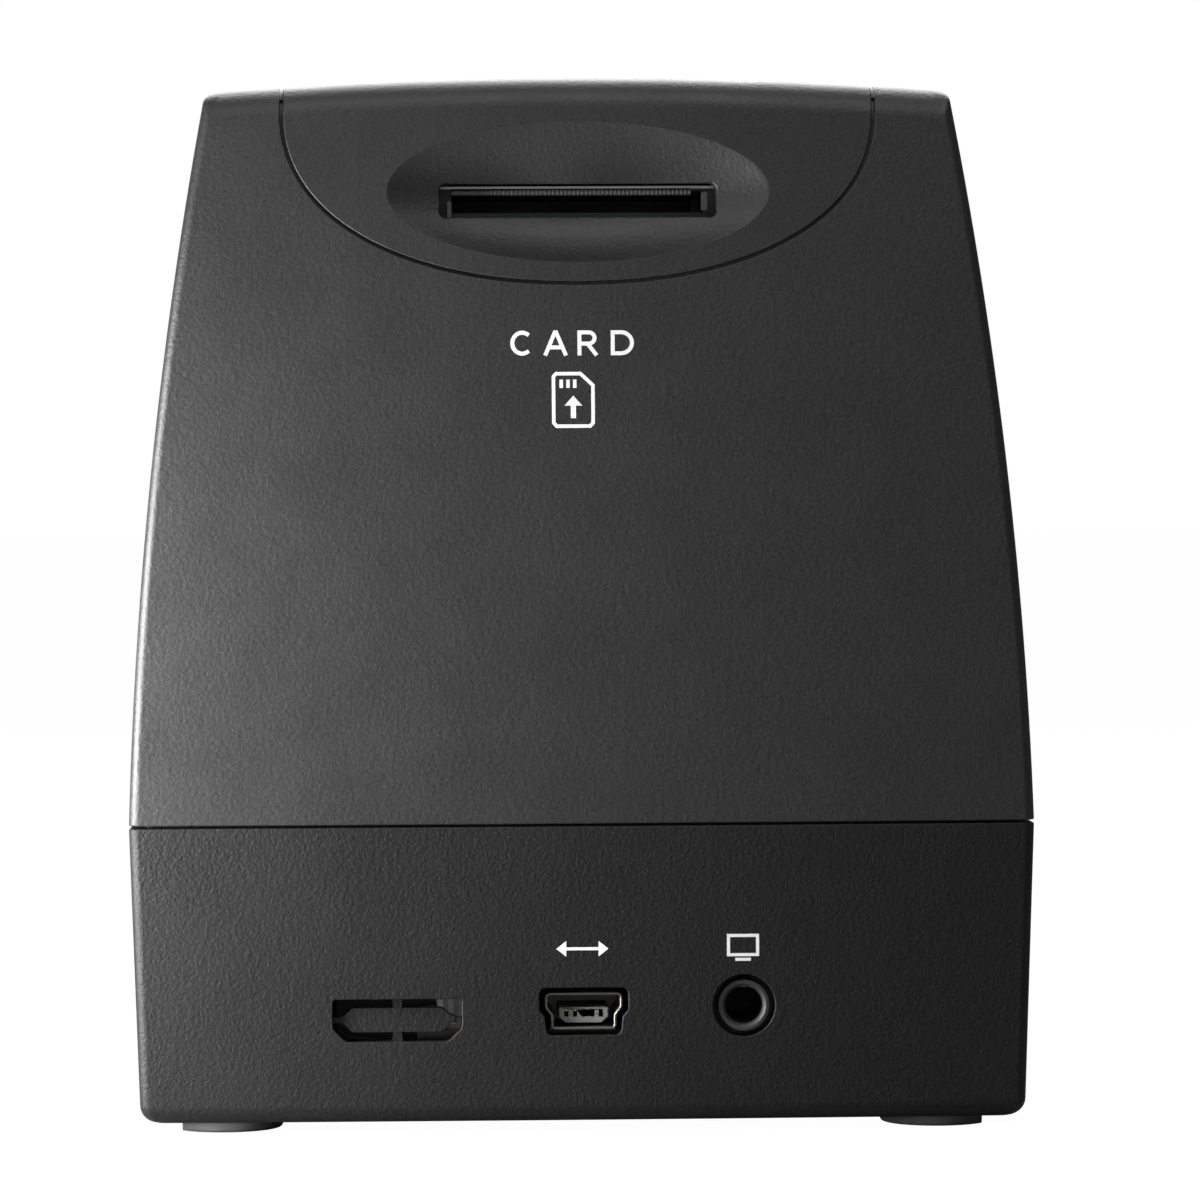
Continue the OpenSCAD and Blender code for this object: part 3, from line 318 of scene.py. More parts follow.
four_corners = [(1, 1), (-1, 1), (-1, -1), (1, -1)]
io_back = float(back_y(9.6)) - wall - 0.85
io_posts = [(-22, io_back - 11.6), (12.5, io_back - 11.6), (-8, io_back - 3.6)]
low = floor_z - 0.5
for mx, my in four_corners:
    x, y = mx * corner_x, my * corner_y
    combine(base_shell, "UNION", upright(circle(x, y, 3.4), low, parting_z),
            upright(rectangle(*sorted((x, mx * 41.2)), y - 0.6, y + 0.6), low, parting_z - 4),
            upright(rectangle(x - 0.6, x + 0.6, *sorted((y, my * 41.2))), low, parting_z - 4),
            upright(circle(mx * 35, my * 24, 2.6), low, 18.875),
            upright(circle(mx * 22, my * 15, 1.8), low, floor_z + 2))
    combine(base_shell, "DIFFERENCE", upright(circle(x, y, 1.45), 0, 32), upright(circle(x, y, 2.45), 0, 14),
            upright(circle(mx * 35, my * 24, 0.95), 13, 22))
for x, y in io_posts:
    combine(base_shell, "UNION", upright(circle(x, y, 1.8), low, 8))
    combine(base_shell, "DIFFERENCE", upright(circle(x, y, 0.95), 4.7, 12))

# mouths of the film channel, one at each side, with a soft lead-in
bed_z = rim_z - 8.2
mouth = rounded([(-29.3, bed_z), (29.3, bed_z), (29.3, 34.5), (-29.3, 34.5)], [0.4, 0.4, 0.6, 0.6])
for way in (1, -1):
    combine(base_shell, "DIFFERENCE", opening(mouth, on_base_side(way), 6.5, 0.35))

on_back = looking_forward(base_shell)
mini_z, jack_x, jack_z, blank_x, blank_z = 11.65, -15.4, 12.1, 17.9, 10.9
mini_hole = rounded([(4.27, 2.28), (-4.27, 2.28), (-4.27, 0.12), (-3.72, -0.5), (-3.55, -2.28), (3.55, -2.28),
                     (3.72, -0.5), (4.27, 0.12)], [0.65, 0.65, 0.3, 0.3, 0.6, 0.6, 0.3, 0.3]) + (0, mini_z)
blank_hole = rounded([(6.2, 2.05), (-6.2, 2.05), (-6.2, -0.75), (-4.9, -2.05), (4.9, -2.05), (6.2, -0.75)],
                     [0.3, 0.3, 0.7, 0.9, 0.9, 0.7]) + (blank_x, blank_z)
combine(base_shell, "DIFFERENCE", opening(mini_hole, on_back, 6, 0.12),
        opening(circle(jack_x, jack_z, 2.98, 64), on_back, 6, 0.12), opening(blank_hole, on_back, 6, 0.1))

# the blank for a third socket: a plate a little behind the skin, left standing on four thin webs
blank_skin = on_back(blank_x, 14.5, 0)[1]
plate = rounded([(5.6, 0.3), (4.95, 0.6), (4.3, 1.2), (-4.3, 1.2), (-4.95, 0.6), (-5.6, 0.3), (-5.6, -0.3),
                 (-4.95, -0.6), (-4.3, -1.2), (4.3, -1.2), (4.95, -0.6), (5.6, -0.3)],
                [0.1, 0.5, 0.6, 0.6, 0.5, 0.1, 0.1, 0.5, 0.6, 0.6, 0.5, 0.1]) + (blank_x, blank_z)
plate_rings = [np.column_stack([edge[:, 0], np.full(len(plate), blank_skin - at), edge[:, 1]])
               for at, edge in ((at, grown(plate, by)) for at, by in
                                ((1.9, 0), (1.02, 0), (0.93, -0.04), (0.9, -0.1)))]
across = rounded([(-6.4, -0.34), (-5.3, -0.22), (5.3, -0.22), (6.4, -0.34), (6.4, 0.34), (5.3, 0.22),
                  (-5.3, 0.22), (-6.4, 0.34)], 0.1, 3) + (blank_x, blank_z)
upwards = rounded([(-0.62, -2.4), (0.62, -2.4), (0.42, -1.5), (0.42, 1.5), (0.62, 2.4), (-0.62, 2.4),
                   (-0.42, 1.5), (-0.42, -1.5)], 0.2, 3) + (blank_x, blank_z)
combine(base_shell, "UNION", skinned(plate_rings), along_y(across, blank_skin - 1.85, blank_skin - 0.98),
        along_y(upwards, blank_skin - 1.85, blank_skin - 0.98))

# painted shade: the base is coloured darker than the tower and the panel, for the darker look of its walls,
# which face a little downwards
base_painted_shade_black = spark_eroded_abs("black_abs_spark_eroded_coarse", "#151516", "#070708", 0.24, 0.07, 0.56)
# the base's coarser skin is set duller than the tower's
base_painted_shade_black.node_tree.nodes["Principled BSDF"].inputs["Specular IOR Level"].default_value = 0.3
fitted(finished(base_shell), base_painted_shade_black, "shell_black", "base_shell")

# ---- Feet ----
# Four round pads of grey rubber, pressed with a soft edge and cut straight along the outside, stuck
# into the corners of the base over its screws.

foot_r, foot_cut = 5.5, 4.2


def moulded_rubber(name, colour):
    """rubber pressed in a blasted mould: dull, a little chalky, with a faint orange-peel skin"""
    material, shader, mm = started(name, colour, 0.82, 1.52)
    peel = add_node(material, "TexNoise", {"Scale": 2.6, "Detail": 2.0}, {"Vector": mm})
    bloom = add_node(material, "TexNoise", {"Scale": 0.35, "Detail": 4.0}, {"Vector": mm})
    shade = add_node(material, "MapRange", {"From Min": 0.3, "From Max": 0.7}, {"Value": bloom})
    tint = add_node(material, "Mix",
                    {"data_type": "RGBA", 6: linear("#4a4a4b"), 7: linear(colour)}, {0: shade})
    bump = add_node(material, "Bump", {"Strength": 0.8, "Distance": 0.00002}, {"Height": peel})
    return joined(material, shader, {"Base Color": tint.outputs[2], "Normal": bump})


foot_grey = moulded_rubber("grey_rubber_moulded", "#5c5c5d")
for mx, my, name in ((1, 1, "foot_back_left"), (-1, 1, "foot_back_right"),
                     (1, -1, "foot_front_left"), (-1, -1, "foot_front_right")):
    turned = [(foot_r - 0.45, 0), (foot_r - 0.28, 0.05), (foot_r - 0.14, 0.16), (foot_r - 0.06, 0.34),
              (foot_r - 0.02, 0.6), (foot_r, foot_h)]
    foot = piece_of(name + "_pad", [skinned([np.column_stack([circle(0, 0, r, 72), np.full(72, z)])
                                             for r, z in turned])])
    combine(foot, "DIFFERENCE", upright(rectangle(foot_cut, 9, -9, 9), -1, 2))
    foot.data.transform(Matrix.Translation((mx * corner_x, my * corner_y, 0))
                        @ Matrix.Diagonal((mx, my, 1, 1)))
    if mx * my < 0:
        foot.data.flip_normals()
    fitted(finished(foot), foot_grey, "rubber", name)

# ---- Screws ----
# Self-tapping steel screws with pan heads, nickel plated: four long ones hold the tower to the base
# from below, and short ones hold the boards, the film bed and the camera base.


def plated_metal(name, colour, rough, pit):
    """plated steel: a bright skin that keeps the fine drawing lines and dints of the sheet under it"""
    material, shader, mm = started(name, colour, rough, metallic=1.0)
    long = add_node(material, "Mapping", {"Scale": (1, 9, 9)}, {"Vector": mm})
    lines = add_node(material, "TexNoise", {"Scale": 1.4, "Detail": 5.0, "Roughness": 0.65}, {"Vector": long})
    dints = add_node(material, "TexNoise", {"Scale": 1 / pit, "Detail": 2.0}, {"Vector": mm})
    height = add_node(material, "Math", {"operation": "MULTIPLY_ADD", 1: 0.5}, {0: dints, 2: lines})
    dull = add_node(material, "MapRange", {"From Min": 0.3, "From Max": 0.7, "To Min": rough - 0.05,
                                           "To Max": rough + 0.08}, {"Value": lines})
    bump = add_node(material, "Bump", {"Strength": 0.7, "Distance": 0.000008}, {"Height": height})
    return joined(material, shader, {"Roughness": dull, "Normal": bump})


def refinished(material, *nodes):
    """gives CAD pieces whose shape is right their material"""
    for name in nodes:
        cad[name].data.materials.clear()
        cad[name].data.materials.append(material)


nickel = plated_metal("steel_nickel_plated", "#b9b7b0", 0.28, 0.5)
refinished(nickel, "case_screws", "board_screws")

# ---- Light under the film ----
# White LEDs on an aluminium-backed board with white solder mask, in a moulded white box that evens
# the light out, closed by an opal acrylic sheet. All of it lies under the gate of the film bed.

led_pitch = 13.0


def solder_mask(name, colour, track, pitch, rough):
    """printed board: glossy lacquer over etched copper tracks, which show as a slightly lighter relief"""
    material, shader, mm = started(name, colour, rough, 1.52)
    bent = add_node(material, "TexNoise", {"Scale": 0.09, "Detail": 0.0}, {"Vector": mm})
    push = add_node(material, "VectorMath", {"operation": "MULTIPLY_ADD", 1: (4.0, 4.0, 4.0)},
                    {0: bent.outputs["Color"], 2: mm})
    cells = add_node(material, "TexVoronoi", {"distance": "CHEBYCHEV", "feature": "F1", "Scale": 1 / pitch},
                     {"Vector": push})
    rows = add_node(material, "TexWave", {"Scale": 0.32, "Distortion": 0.0, "bands_direction": "DIAGONAL"},
                    {"Vector": push})
    lines = add_node(material, "MapRange", {"From Min": 0.62, "From Max": 0.72}, {"Value": rows})
    where = add_node(material, "MapRange", {"From Min": 0.25, "From Max": 0.3}, {"Value": cells})
    copper = add_node(material, "Math", {"operation": "MULTIPLY"}, {0: lines, 1: where})
    tint = add_node(material, "Mix", {"data_type": "RGBA", 6: linear(colour), 7: linear(track)}, {0: copper})
    bump = add_node(material, "Bump", {"Strength": 0.8, "Distance": 0.000035}, {"Height": copper})
    joined(material, shader, {"Base Color": tint.outputs[2], "Normal": bump})
    shader.inputs["Coat Weight"].default_value = 0.5
    shader.inputs["Coat Roughness"].default_value = 0.12
    return material


def moulded_plastic(name, colour, rough, ior, flow, depth):
    """plastic moulded against plain milled steel: half gloss, with faint flow marks and sinks"""
    material, shader, mm = started(name, colour, rough, ior)
    marks = add_node(material, "TexNoise", {"Scale": 1 / flow, "Detail": 4.0, "Distortion": 0.6},
                     {"Vector": mm})
    fine = add_node(material, "TexNoise", {"Scale": 3.2, "Detail": 2.0}, {"Vector": mm})
    dull = add_node(material, "MapRange", {"From Min": 0.3, "From Max": 0.7, "To Min": rough - 0.06,
                                           "To Max": rough + 0.06}, {"Value": marks})
    height = add_node(material, "Math", {"operation": "MULTIPLY_ADD", 1: 0.3}, {0: fine, 2: marks})
    bump = add_node(material, "Bump", {"Strength": 0.7, "Distance": depth * 0.001}, {"Height": height})
    return joined(material, shader, {"Roughness": dull, "Normal": bump})


def opal_acrylic(name):
    """acrylic filled with fine white pigment and cast between glass: smooth, milky, lets light through"""
    material, shader, mm = started(name, "#eef0ee", 0.24, 1.49)
    haze = add_node(material, "TexNoise", {"Scale": 0.5, "Detail": 3.0}, {"Vector": mm})
    tint = add_node(material, "Mix",
                    {"data_type": "RGBA", 6: linear("#e6e9e7"), 7: linear("#f6f7f5")}, {0: haze})
    joined(material, shader, {"Base Color": tint.outputs[2]})
    shader.inputs["Subsurface Weight"].default_value = 0.5
    shader.inputs["Subsurface Radius"].default_value = (0.002, 0.002, 0.002)
    shader.inputs["Subsurface Scale"].default_value = 1.0
    return material


def led_lens(name):
    """phosphor gel in a white reflector cup: matt lemon yellow in the middle, white round it"""
    material, shader, mm = started(name, "#e9dc7c", 0.4, 1.42)
    cell = add_node(material, "VectorMath",
                    {"operation": "WRAP", 1: (led_pitch / 2,) * 3, 2: (-led_pitch / 2,) * 3}, {0: mm})
    flat = add_node(material, "VectorMath", {"operation": "MULTIPLY", 1: (1.0, 1.0, 0.0)}, {0: cell})
    away = add_node(material, "VectorMath", {"operation": "LENGTH"}, {0: flat})
    cup = add_node(material, "MapRange", {"From Min": 1.7, "From Max": 1.85},
                   {"Value": away.outputs["Value"]})
    grain = add_node(material, "TexNoise", {"Scale": 9.0, "Detail": 2.0}, {"Vector": mm})
    gel = add_node(material, "Mix",
                   {"data_type": "RGBA", 6: linear("#dccb62"), 7: linear("#f0e48e")}, {0: grain})
    tint = add_node(material, "Mix", {"data_type": "RGBA", 7: linear("#f2f1ec")}, {0: cup, 6: gel.outputs[2]})
    return joined(material, shader, {"Base Color": tint.outputs[2]})


refinished(solder_mask("board_white_solder_mask", "#e4e4df", "#f3f2ee", 7.0, 0.3), "led_board")
refinished(moulded_plastic("white_abs_moulded", "#e9e9e5", 0.42, 1.53, 9.0, 0.02), "light_box")
refinished(opal_acrylic("opal_acrylic_cast"), "diffuser")
refinished(led_lens("led_phosphor_gel"), "leds")

# ---- Film bed and detent arm ----
# The film holder slides between two rails of a black ABS bed, over a gate above the light. A little
# acetal arm on a pin presses its nose into the holder's notches, so each frame stops in the middle.

inner_black = moulded_plastic("black_abs_moulded_half_gloss", "#1b1b1c", 0.36, 1.53, 8.0, 0.03)
acetal = moulded_plastic("natural_acetal_moulded", "#d9d8d0", 0.3, 1.48, 5.0, 0.012)
refinished(inner_black, "film_bed")
refinished(acetal, "detent_arm")

# ---- Camera over the film ----
# A black cone keeps stray light off the film. Over it a screwed lens barrel sits in its holder, and
# the image sensor looks down the barrel from the underside of a small board.


def coated_glass(name):
    """polished optical glass with a thin coating, which leaves a faint violet-green reflection"""
    material, shader, mm = started(name, "#f4fbff", 0.02, 1.62)
    shader.inputs["Transmission Weight"].default_value = 1.0
    shader.inputs["Coat Weight"].default_value = 0.4
    shader.inputs["Coat Roughness"].default_value = 0.02
    shader.inputs["Coat Tint"].default_value = linear("#b7a3ff")
    dust = add_node(material, "TexNoise", {"Scale": 6.0, "Detail": 4.0}, {"Vector": mm})
    dull = add_node(material, "MapRange", {"From Min": 0.5, "From Max": 0.8, "To Min": 0.01, "To Max": 0.05},
                    {"Value": dust})
    return joined(material, shader, {"Roughness": dull})


def sensor_die(name):
    """silicon under a glass lid: a dark field with a painted blue-green shimmer inside a pale ceramic rim"""
    material, shader, mm = started(name, "#1d2530", 0.12, 1.52)
    size = add_node(material, "VectorMath", {"operation": "ABSOLUTE"}, {0: mm})
    parts = add_node(material, "SeparateXYZ", None, {0: size})
    across = add_node(material, "Math", {"operation": "GREATER_THAN", 1: 2.9}, {0: parts.outputs[0]})
    along = add_node(material, "Math", {"operation": "GREATER_THAN", 1: 2.3}, {0: parts.outputs[1]})
    rim = add_node(material, "Math", {"operation": "MAXIMUM"}, {0: across, 1: along})
    # painted sheen: the field's colour wanders between two blues as a painted shimmer
    painted_shimmer = add_node(material, "TexNoise", {"Scale": 1.5, "Detail": 1.0}, {"Vector": mm})
    field = add_node(material, "Mix", {"data_type": "RGBA", 6: linear("#16202c"), 7: linear("#27424a")},
                     {0: painted_shimmer})
    tint = add_node(material, "Mix",
                    {"data_type": "RGBA", 7: linear("#8f8b82")}, {0: rim, 6: field.outputs[2]})
    return joined(material, shader, {"Base Color": tint.outputs[2]})


refinished(inner_black, "camera_base", "lens_holder")
refinished(moulded_plastic("black_anodised_aluminium_turned", "#2a2a2b", 0.3, 1.5, 2.0, 0.01), "lens_barrel")
refinished(coated_glass("optical_glass_coated"), "lens_glass")
refinished(sensor_die("silicon_sensor_under_glass"), "image_sensor")

# ---- Boards and their parts ----
# Printed boards of glass-fibre laminate with green lacquer, screwed to posts and studs; the one behind
# the sockets is coloured black as painted shade, so that the inside seen through the openings in the
# back stays dark. Chips, connectors and capacitors are soldered on, and flat ribbons join the boards.

green_board = solder_mask("glass_fibre_board_green_lacquer", "#0f4a2c", "#1c6b41", 4.2, 0.32)
refinished(green_board, "main_board", "sensor_board", "card_board", "front_board", "power_board")
# painted shade: the board behind the sockets is black so that it shows dark through the openings
refinished(solder_mask("glass_fibre_board_painted_shade_black", "#0e0f10", "#191a1b", 4.2, 0.32), "io_board")


def chips_and_cans(name):
    """moulded epoxy chips, finely matt black, and capacitors in satin black sleeves low on the board"""
    material, shader, mm = started(name, "#17171a", 0.55, 1.55)
    parts = add_node(material, "SeparateXYZ", None, {0: mm})
    right = add_node(material, "Math", {"operation": "LESS_THAN", 1: -12.0}, {0: parts.outputs[0]})
    under = add_node(material, "Math", {"operation": "LESS_THAN", 1: 49.0}, {0: parts.outputs[2]})
    can = add_node(material, "Math", {"operation": "MULTIPLY"}, {0: right, 1: under})
    grit = add_node(material, "TexNoise", {"Scale": 7.0, "Detail": 3.0}, {"Vector": mm})
    tint = add_node(material, "Mix",
                    {"data_type": "RGBA", 6: linear("#17171a"), 7: linear("#252b3d")}, {0: can})
    dull = add_node(material, "MapRange", {"To Min": 0.6, "To Max": 0.3}, {"Value": can})
    bump = add_node(material, "Bump", {"Strength": 0.6, "Distance": 0.00001}, {"Height": grit})
    return joined(material, shader, {"Base Color": tint.outputs[2], "Roughness": dull, "Normal": bump})


def ribbon_cable(name, across, conductor_pitch):
    """polyester ribbon laminated over flat tinned conductors: satin white with fine grey stripes"""
    material, shader, mm = started(name, "#e3e3e4", 0.34, 1.57)
    parts = add_node(material, "SeparateXYZ", None, {0: mm})
    phase = add_node(material, "Math", {"operation": "MULTIPLY", 1: 2 * math.pi / conductor_pitch},
                     {0: parts.outputs[across]})
    wave = add_node(material, "Math", {"operation": "SINE"}, {0: phase})
    stripe = add_node(material, "MapRange", {"From Min": -0.1, "From Max": 0.3}, {"Value": wave})
    tint = add_node(material, "Mix",
                    {"data_type": "RGBA", 6: linear("#ececec"), 7: linear("#b9babd")}, {0: stripe})
    bump = add_node(material, "Bump", {"Strength": 0.6, "Distance": 0.00004}, {"Height": stripe})
    return joined(material, shader, {"Base Color": tint.outputs[2], "Normal": bump})


refinished(chips_and_cans("epoxy_moulded_chips_and_sleeved_cans"), "board_chips")
refinished(moulded_plastic("natural_nylon_moulded", "#ddd6c4", 0.45, 1.53, 4.0, 0.02), "connectors")
# the conductors' real pitch is 0.5 mm; they are drawn at 1 mm so that they show
refinished(ribbon_cable("polyester_ribbon_laminated", 0, 1.0), "io_ribbon", "sensor_ribbon", "front_ribbon",
           "led_ribbon")

# ---- Mini socket ----
# A shell folded from thin nickel-plated sheet, wide at the top and stepped in below, with a grey
# moulded tongue low in its mouth that carries five gilt contacts in slots.

mini_face = float(back_y(mini_z)) - 0.5


def shell_shape(by):
    outline = rounded([(3.75, 1.8), (-3.75, 1.8), (-3.75, 0.36), (-3.17, -0.43), (-3.17, -1.8), (3.17, -1.8),
                       (3.17, -0.43), (3.75, 0.36)], [0.55, 0.55, 0.45, 0.45, 0.5, 0.5, 0.45, 0.45], 5)
    return grown(outline, by) + (0, mini_z)


def across_rings(rings):
    """rings of points [x, z], each given with its place along Y"""
    return [np.column_stack([outline[:, 0], np.full(len(outline), y), outline[:, 1]]) for outline, y in rings]


mini_back = mini_face - 9
folded = across_rings([(shell_shape(0), mini_back), (shell_shape(0), mini_face - 0.1),
                       (shell_shape(-0.04), mini_face - 0.03), (shell_shape(-0.1), mini_face),
                       (shell_shape(-0.2), mini_face), (shell_shape(-0.26), mini_face - 0.04),
                       (shell_shape(-0.3), mini_face - 0.12), (shell_shape(-0.3), mini_back + 0.6)])
mini_shell = piece_of("mini_socket_folded_shell", [skinned(folded)])
for way in (1, -1):
    leg = rectangle(*sorted((way * 3.17, way * 2.6)), mini_face - 5.5, mini_face - 3.5)
    combine(mini_shell, "UNION", upright(leg, 9.6, mini_z - 1.6))
# painted shade: a darker copy of the nickel, for the shell that sits back inside its opening
nickel_dull_painted_shade = plated_metal("steel_nickel_plated_dull_painted_shade", "#6f6e6b", 0.4, 0.3)
fitted(finished(mini_shell), nickel_dull_painted_shade, "steel", "mini_socket_shell")

contact_places = (-1.66, -0.83, 0, 0.83, 1.66)
carrier_shape = rounded([(2.38, 0.3), (-2.38, 0.3), (-2.38, -0.62), (-1.72, -1.22), (1.72, -1.22),
                         (2.38, -0.62)], 0.12, 4) + (0, mini_z)
carrier = piece_of("mini_socket_moulded_tongue", [skinned(across_rings(
    [(carrier_shape, mini_back + 0.6), (carrier_shape, mini_face - 1.02),
     (grown(carrier_shape, -0.05), mini_face - 0.93), (grown(carrier_shape, -0.14), mini_face - 0.9)]))])
for x in contact_places:
    slot = rounded([(x + 0.21, 0.1), (x - 0.21, 0.1), (x - 0.21, -0.62), (x + 0.21, -0.62)], 0.06, 3)
    combine(carrier, "DIFFERENCE", along_y(slot + (0, mini_z), mini_back + 2, mini_face))
lcp_grey = moulded_plastic("grey_glass_filled_polymer_moulded", "#7b7b7a", 0.5, 1.6, 1.2, 0.02)
fitted(finished(carrier), lcp_grey, "tongue_grey", "mini_socket_tongue")

gilt = plated_metal("copper_alloy_gilt", "#d9b25a", 0.22, 0.4)
pins = [along_y(rounded([(x + 0.14, 0.04), (x - 0.14, 0.04), (x - 0.14, -0.1), (x + 0.14, -0.1)], 0.03, 2)
                + (0, mini_z), mini_back + 2.2, mini_face - 1.25) for x in contact_places]
fitted(finished(piece_of("mini_socket_pins", pins)), gilt, "gold")

# ---- Round jack ----
# A 3.5 mm jack moulded in dull black polyester: its nose reaches through the back of the base, with a
# bevelled mouth, and a plated spring leaf shows down its bore.

nose_r, bore_r, jack_low = 2.5, 1.8, 9.6
jack_tip = float(back_y(jack_z)) - 0.4
jack_front = io_back + 0.4 - 12


def jack_ring(r):
    return circle(jack_x, jack_z, r, 64)


jack_rings = across_rings([(jack_ring(nose_r), jack_front + 0.9), (jack_ring(nose_r), jack_tip - 0.16),
                           (jack_ring(nose_r - 0.05), jack_tip - 0.05), (jack_ring(nose_r - 0.16), jack_tip),
                           (jack_ring(bore_r + 0.3), jack_tip), (jack_ring(bore_r + 0.22), jack_tip - 0.05),
                           (jack_ring(bore_r + 0.03), jack_tip - 0.34), (jack_ring(bore_r), jack_tip - 0.5),
                           (jack_ring(bore_r), jack_front + 1)])
jack_case = rounded([(jack_x + 3, jack_low), (jack_x + 3, 14.6), (jack_x - 3, 14.6),
                     (jack_x - 3, jack_low)], 0.3, 3)
jack = piece_of("jack_moulded_body", [along_y(jack_case, jack_front, io_back + 0.4)])
combine(jack, "DIFFERENCE", along_y(jack_ring(nose_r - 0.2), jack_front + 1, io_back + 2))
combine(jack, "UNION", skinned(jack_rings))
jack_black = moulded_plastic("black_pbt_moulded", "#2c2c2d", 0.55, 1.6, 0.8, 0.05)
fitted(finished(jack), jack_black, "inner_black", "jack_body")
leaf = along_y(rounded([(0.5, 1.72), (-0.5, 1.72), (-0.42, 1.52), (0.42, 1.52)], 0.05, 3) + (jack_x, jack_z),
               jack_front + 1.2, jack_tip - 3.2)
fitted(finished(piece_of("jack_spring_leaf", [leaf])), nickel, "tin")

# ---- Card socket ----
# A pressed cover of tin-plated sheet over a black carrier, behind the slot in the top panel. A card
# pushes its slider in to click home. The cover's rolled front edge shows in the top of the slot, in
# a darker copy of the tin: painted shade for the edge deep in the slot.

slot_z, scoop_deep = 89.6, 3.0
socket_y = float(back_y(slot_z)) - scoop_deep - 1.2 - 0.3
tin = plated_metal("steel_sheet_tin_plated", "#c4c4c2", 0.34, 0.35)
# painted shade: a darker copy of the tin, for the rolled edge and its ears inside the slot
tin_coined_painted_shade = plated_metal("steel_sheet_tin_plated_coined_painted_shade", "#77777a", 0.42, 0.25)
cover_y = socket_y + 0.02
edge_x = np.linspace(-11.0, 12.2, 233)
# the rolled edge is finely ribbed across: every second pair of its rings is drawn in a little
rolled = [[(x, cover_y + (0.24 - 0.05 * (i % 4 > 1)) * math.sin(a), slot_z + 0.92 + 0.36 * math.cos(a))
           for a in np.radians(np.linspace(0, 180, 9))] for i, x in enumerate(edge_x)]
ears = [along_y(rounded([(x1, z1), (x0, z1), (x0, z0), (x1, z0)], 0.15, 3), cover_y, socket_y + 0.2)
        for x0, x1, z0, z1 in ((12.2, 12.6, slot_z - 1.5, slot_z + 0.1),
                               (-12.6, -12.0, slot_z - 0.9, slot_z + 0.9))]
cover_edge = piece_of("card_socket_rolled_edge", [skinned(rolled)] + ears)
fitted(finished(cover_edge), tin_coined_painted_shade, "tin")
refinished(tin, "card_socket_shell")
refinished(inner_black, "card_socket_body")
refinished(gilt, "card_contacts")
refinished(moulded_plastic("black_acetal_moulded", "#202021", 0.38, 1.48, 3.0, 0.012), "card_slider")

# ---- Tower shell ----
# The upper half of the housing: a black ABS moulding that narrows to its crown, with a shallow seat
# and a ledge for the top panel. Posts inside it take the case screws from below.

crown_back_r, crown_front_r, crown_side_r, lip_top = 3.0, 6.0, 1.0, eave_z + lip_h + 0.3
panel_half, panel_gap, panel_t, ledge_w = 28.7, 0.35, 1.2, 1.2
tongue_z, tongue_bend, apron_z, apron_r = 81.4, 98.1, 34.0, 8.0
seam_r, crown_curve, crown_fall = 0.09, 960, 1.5


def mid_y(z):
    return (back_y(z) + front_y(z)) / 2


def half_d(z):
    return (back_y(z) - front_y(z)) / 2


def forward(p):
    """how far points lie from the back (0) to the front (1) of the crown"""
    return np.clip((back_y(crown_z) - p[:, 1]) / (2 * half_d(crown_z)), 0, 1)


def top_z(p):
    return crown_z - p[:, 0] ** 2 / crown_curve - crown_fall * forward(p) ** 2


def placed(p, level_z, z):
    """moves an outline of one level onto the heights z"""
    return np.column_stack([p[:, 0] * half_w(z) / half_w(level_z),
                            mid_y(z) + (p[:, 1] - mid_y(level_z)) * half_d(z) / half_d(level_z), z])


def tower_form(low, d, levels, eave=0.0):
    """the tower's form, d inside its skin: walls, the rolled edge of the crown, and the crown"""
    back_r, front_r, side_r = (max(least_r, r - d) for r in (crown_back_r, crown_front_r, crown_side_r))
    r = max(least_r, edge_r - d)

    def roll(p, w):
        """radius of the crown's edge at each point: small at the sides, larger at the back and front"""
        beside = np.clip((np.abs(p[:, 0]) - w + r) / r, 0, 1)
        round_r = crown_back_r + (crown_front_r - crown_back_r) * forward(p)
        return np.maximum(least_r, beside * crown_side_r + (1 - beside) * round_r - d)
    rings = [flat_ring(low + eave * (1 - math.sin(a)), eave * (1 - math.cos(a)), r)
             for a in quarter[-1:0:-2]] if eave else []
    for t in np.linspace(0, 1, levels + 1):
        t = t if t else eave / (crown_z - low)
        z = low + t * (crown_z - d - back_r - low)
        p = level(z, d, d, d, r)
        rings.append(placed(p, z, low + t * (top_z(p) - d - roll(p, half_w(z) - d) - low)))
    for a in np.radians(np.linspace(0, 90, 13)[1:]):
        z = crown_z - d - back_r * (1 - math.sin(a))
        side_in = d + side_r * (1 - math.cos(a))
        p = level(z, side_in, d + back_r * (1 - math.cos(a)), d + front_r * (1 - math.cos(a)), r)
        rings.append(placed(p, z, top_z(p) - d - roll(p, half_w(z) - side_in) * (1 - math.sin(a))))
    edge = rings[-1]
    for s in (0.96, 0.92, 0.84, 0.75, 0.65, 0.55, 0.45, 0.35, 0.25, 0.15, 0.06):
        p = np.column_stack([edge[:, 0] * s, mid_y(crown_z) + (edge[:, 1] - mid_y(crown_z)) * s])
        rings.append(np.column_stack([p, top_z(p) - d]))
    return skinned(rings)


def tongue(g):
    """the top panel's outline seen from behind, g inside its opening"""
    a = np.radians(np.linspace(0, 180, 61))
    c, s = np.cos(a), np.sin(a)
    curve = np.column_stack([-(panel_half - g) * np.sign(c) * np.abs(c) ** (2 / 2.2),
                             tongue_bend - (tongue_bend - tongue_z - g) * s ** (2 / 2.2)])
    return np.concatenate([[(panel_half - g, 110), (g - panel_half, 110)], curve])


def apron(g):
    """its outline seen from the front"""
    side, foot, r = panel_half - g, apron_z + g, apron_r - g
    return rounded([(side, 110), (-side, 110), (-side, foot), (side, foot)], [0.01, 0.01, r, r], 12)


def panel_form(name, g):
    form = piece_of(name, [along_y(tongue(g), -1, 60)])
    return combine(form, "UNION", along_y(apron(g), -60, 0))


tower_skin = tower_form(eave_z, 0, 28, parting_r)
skin_tree = BVHTree.FromPolygons(tower_skin[0].tolist(), tower_skin[1])


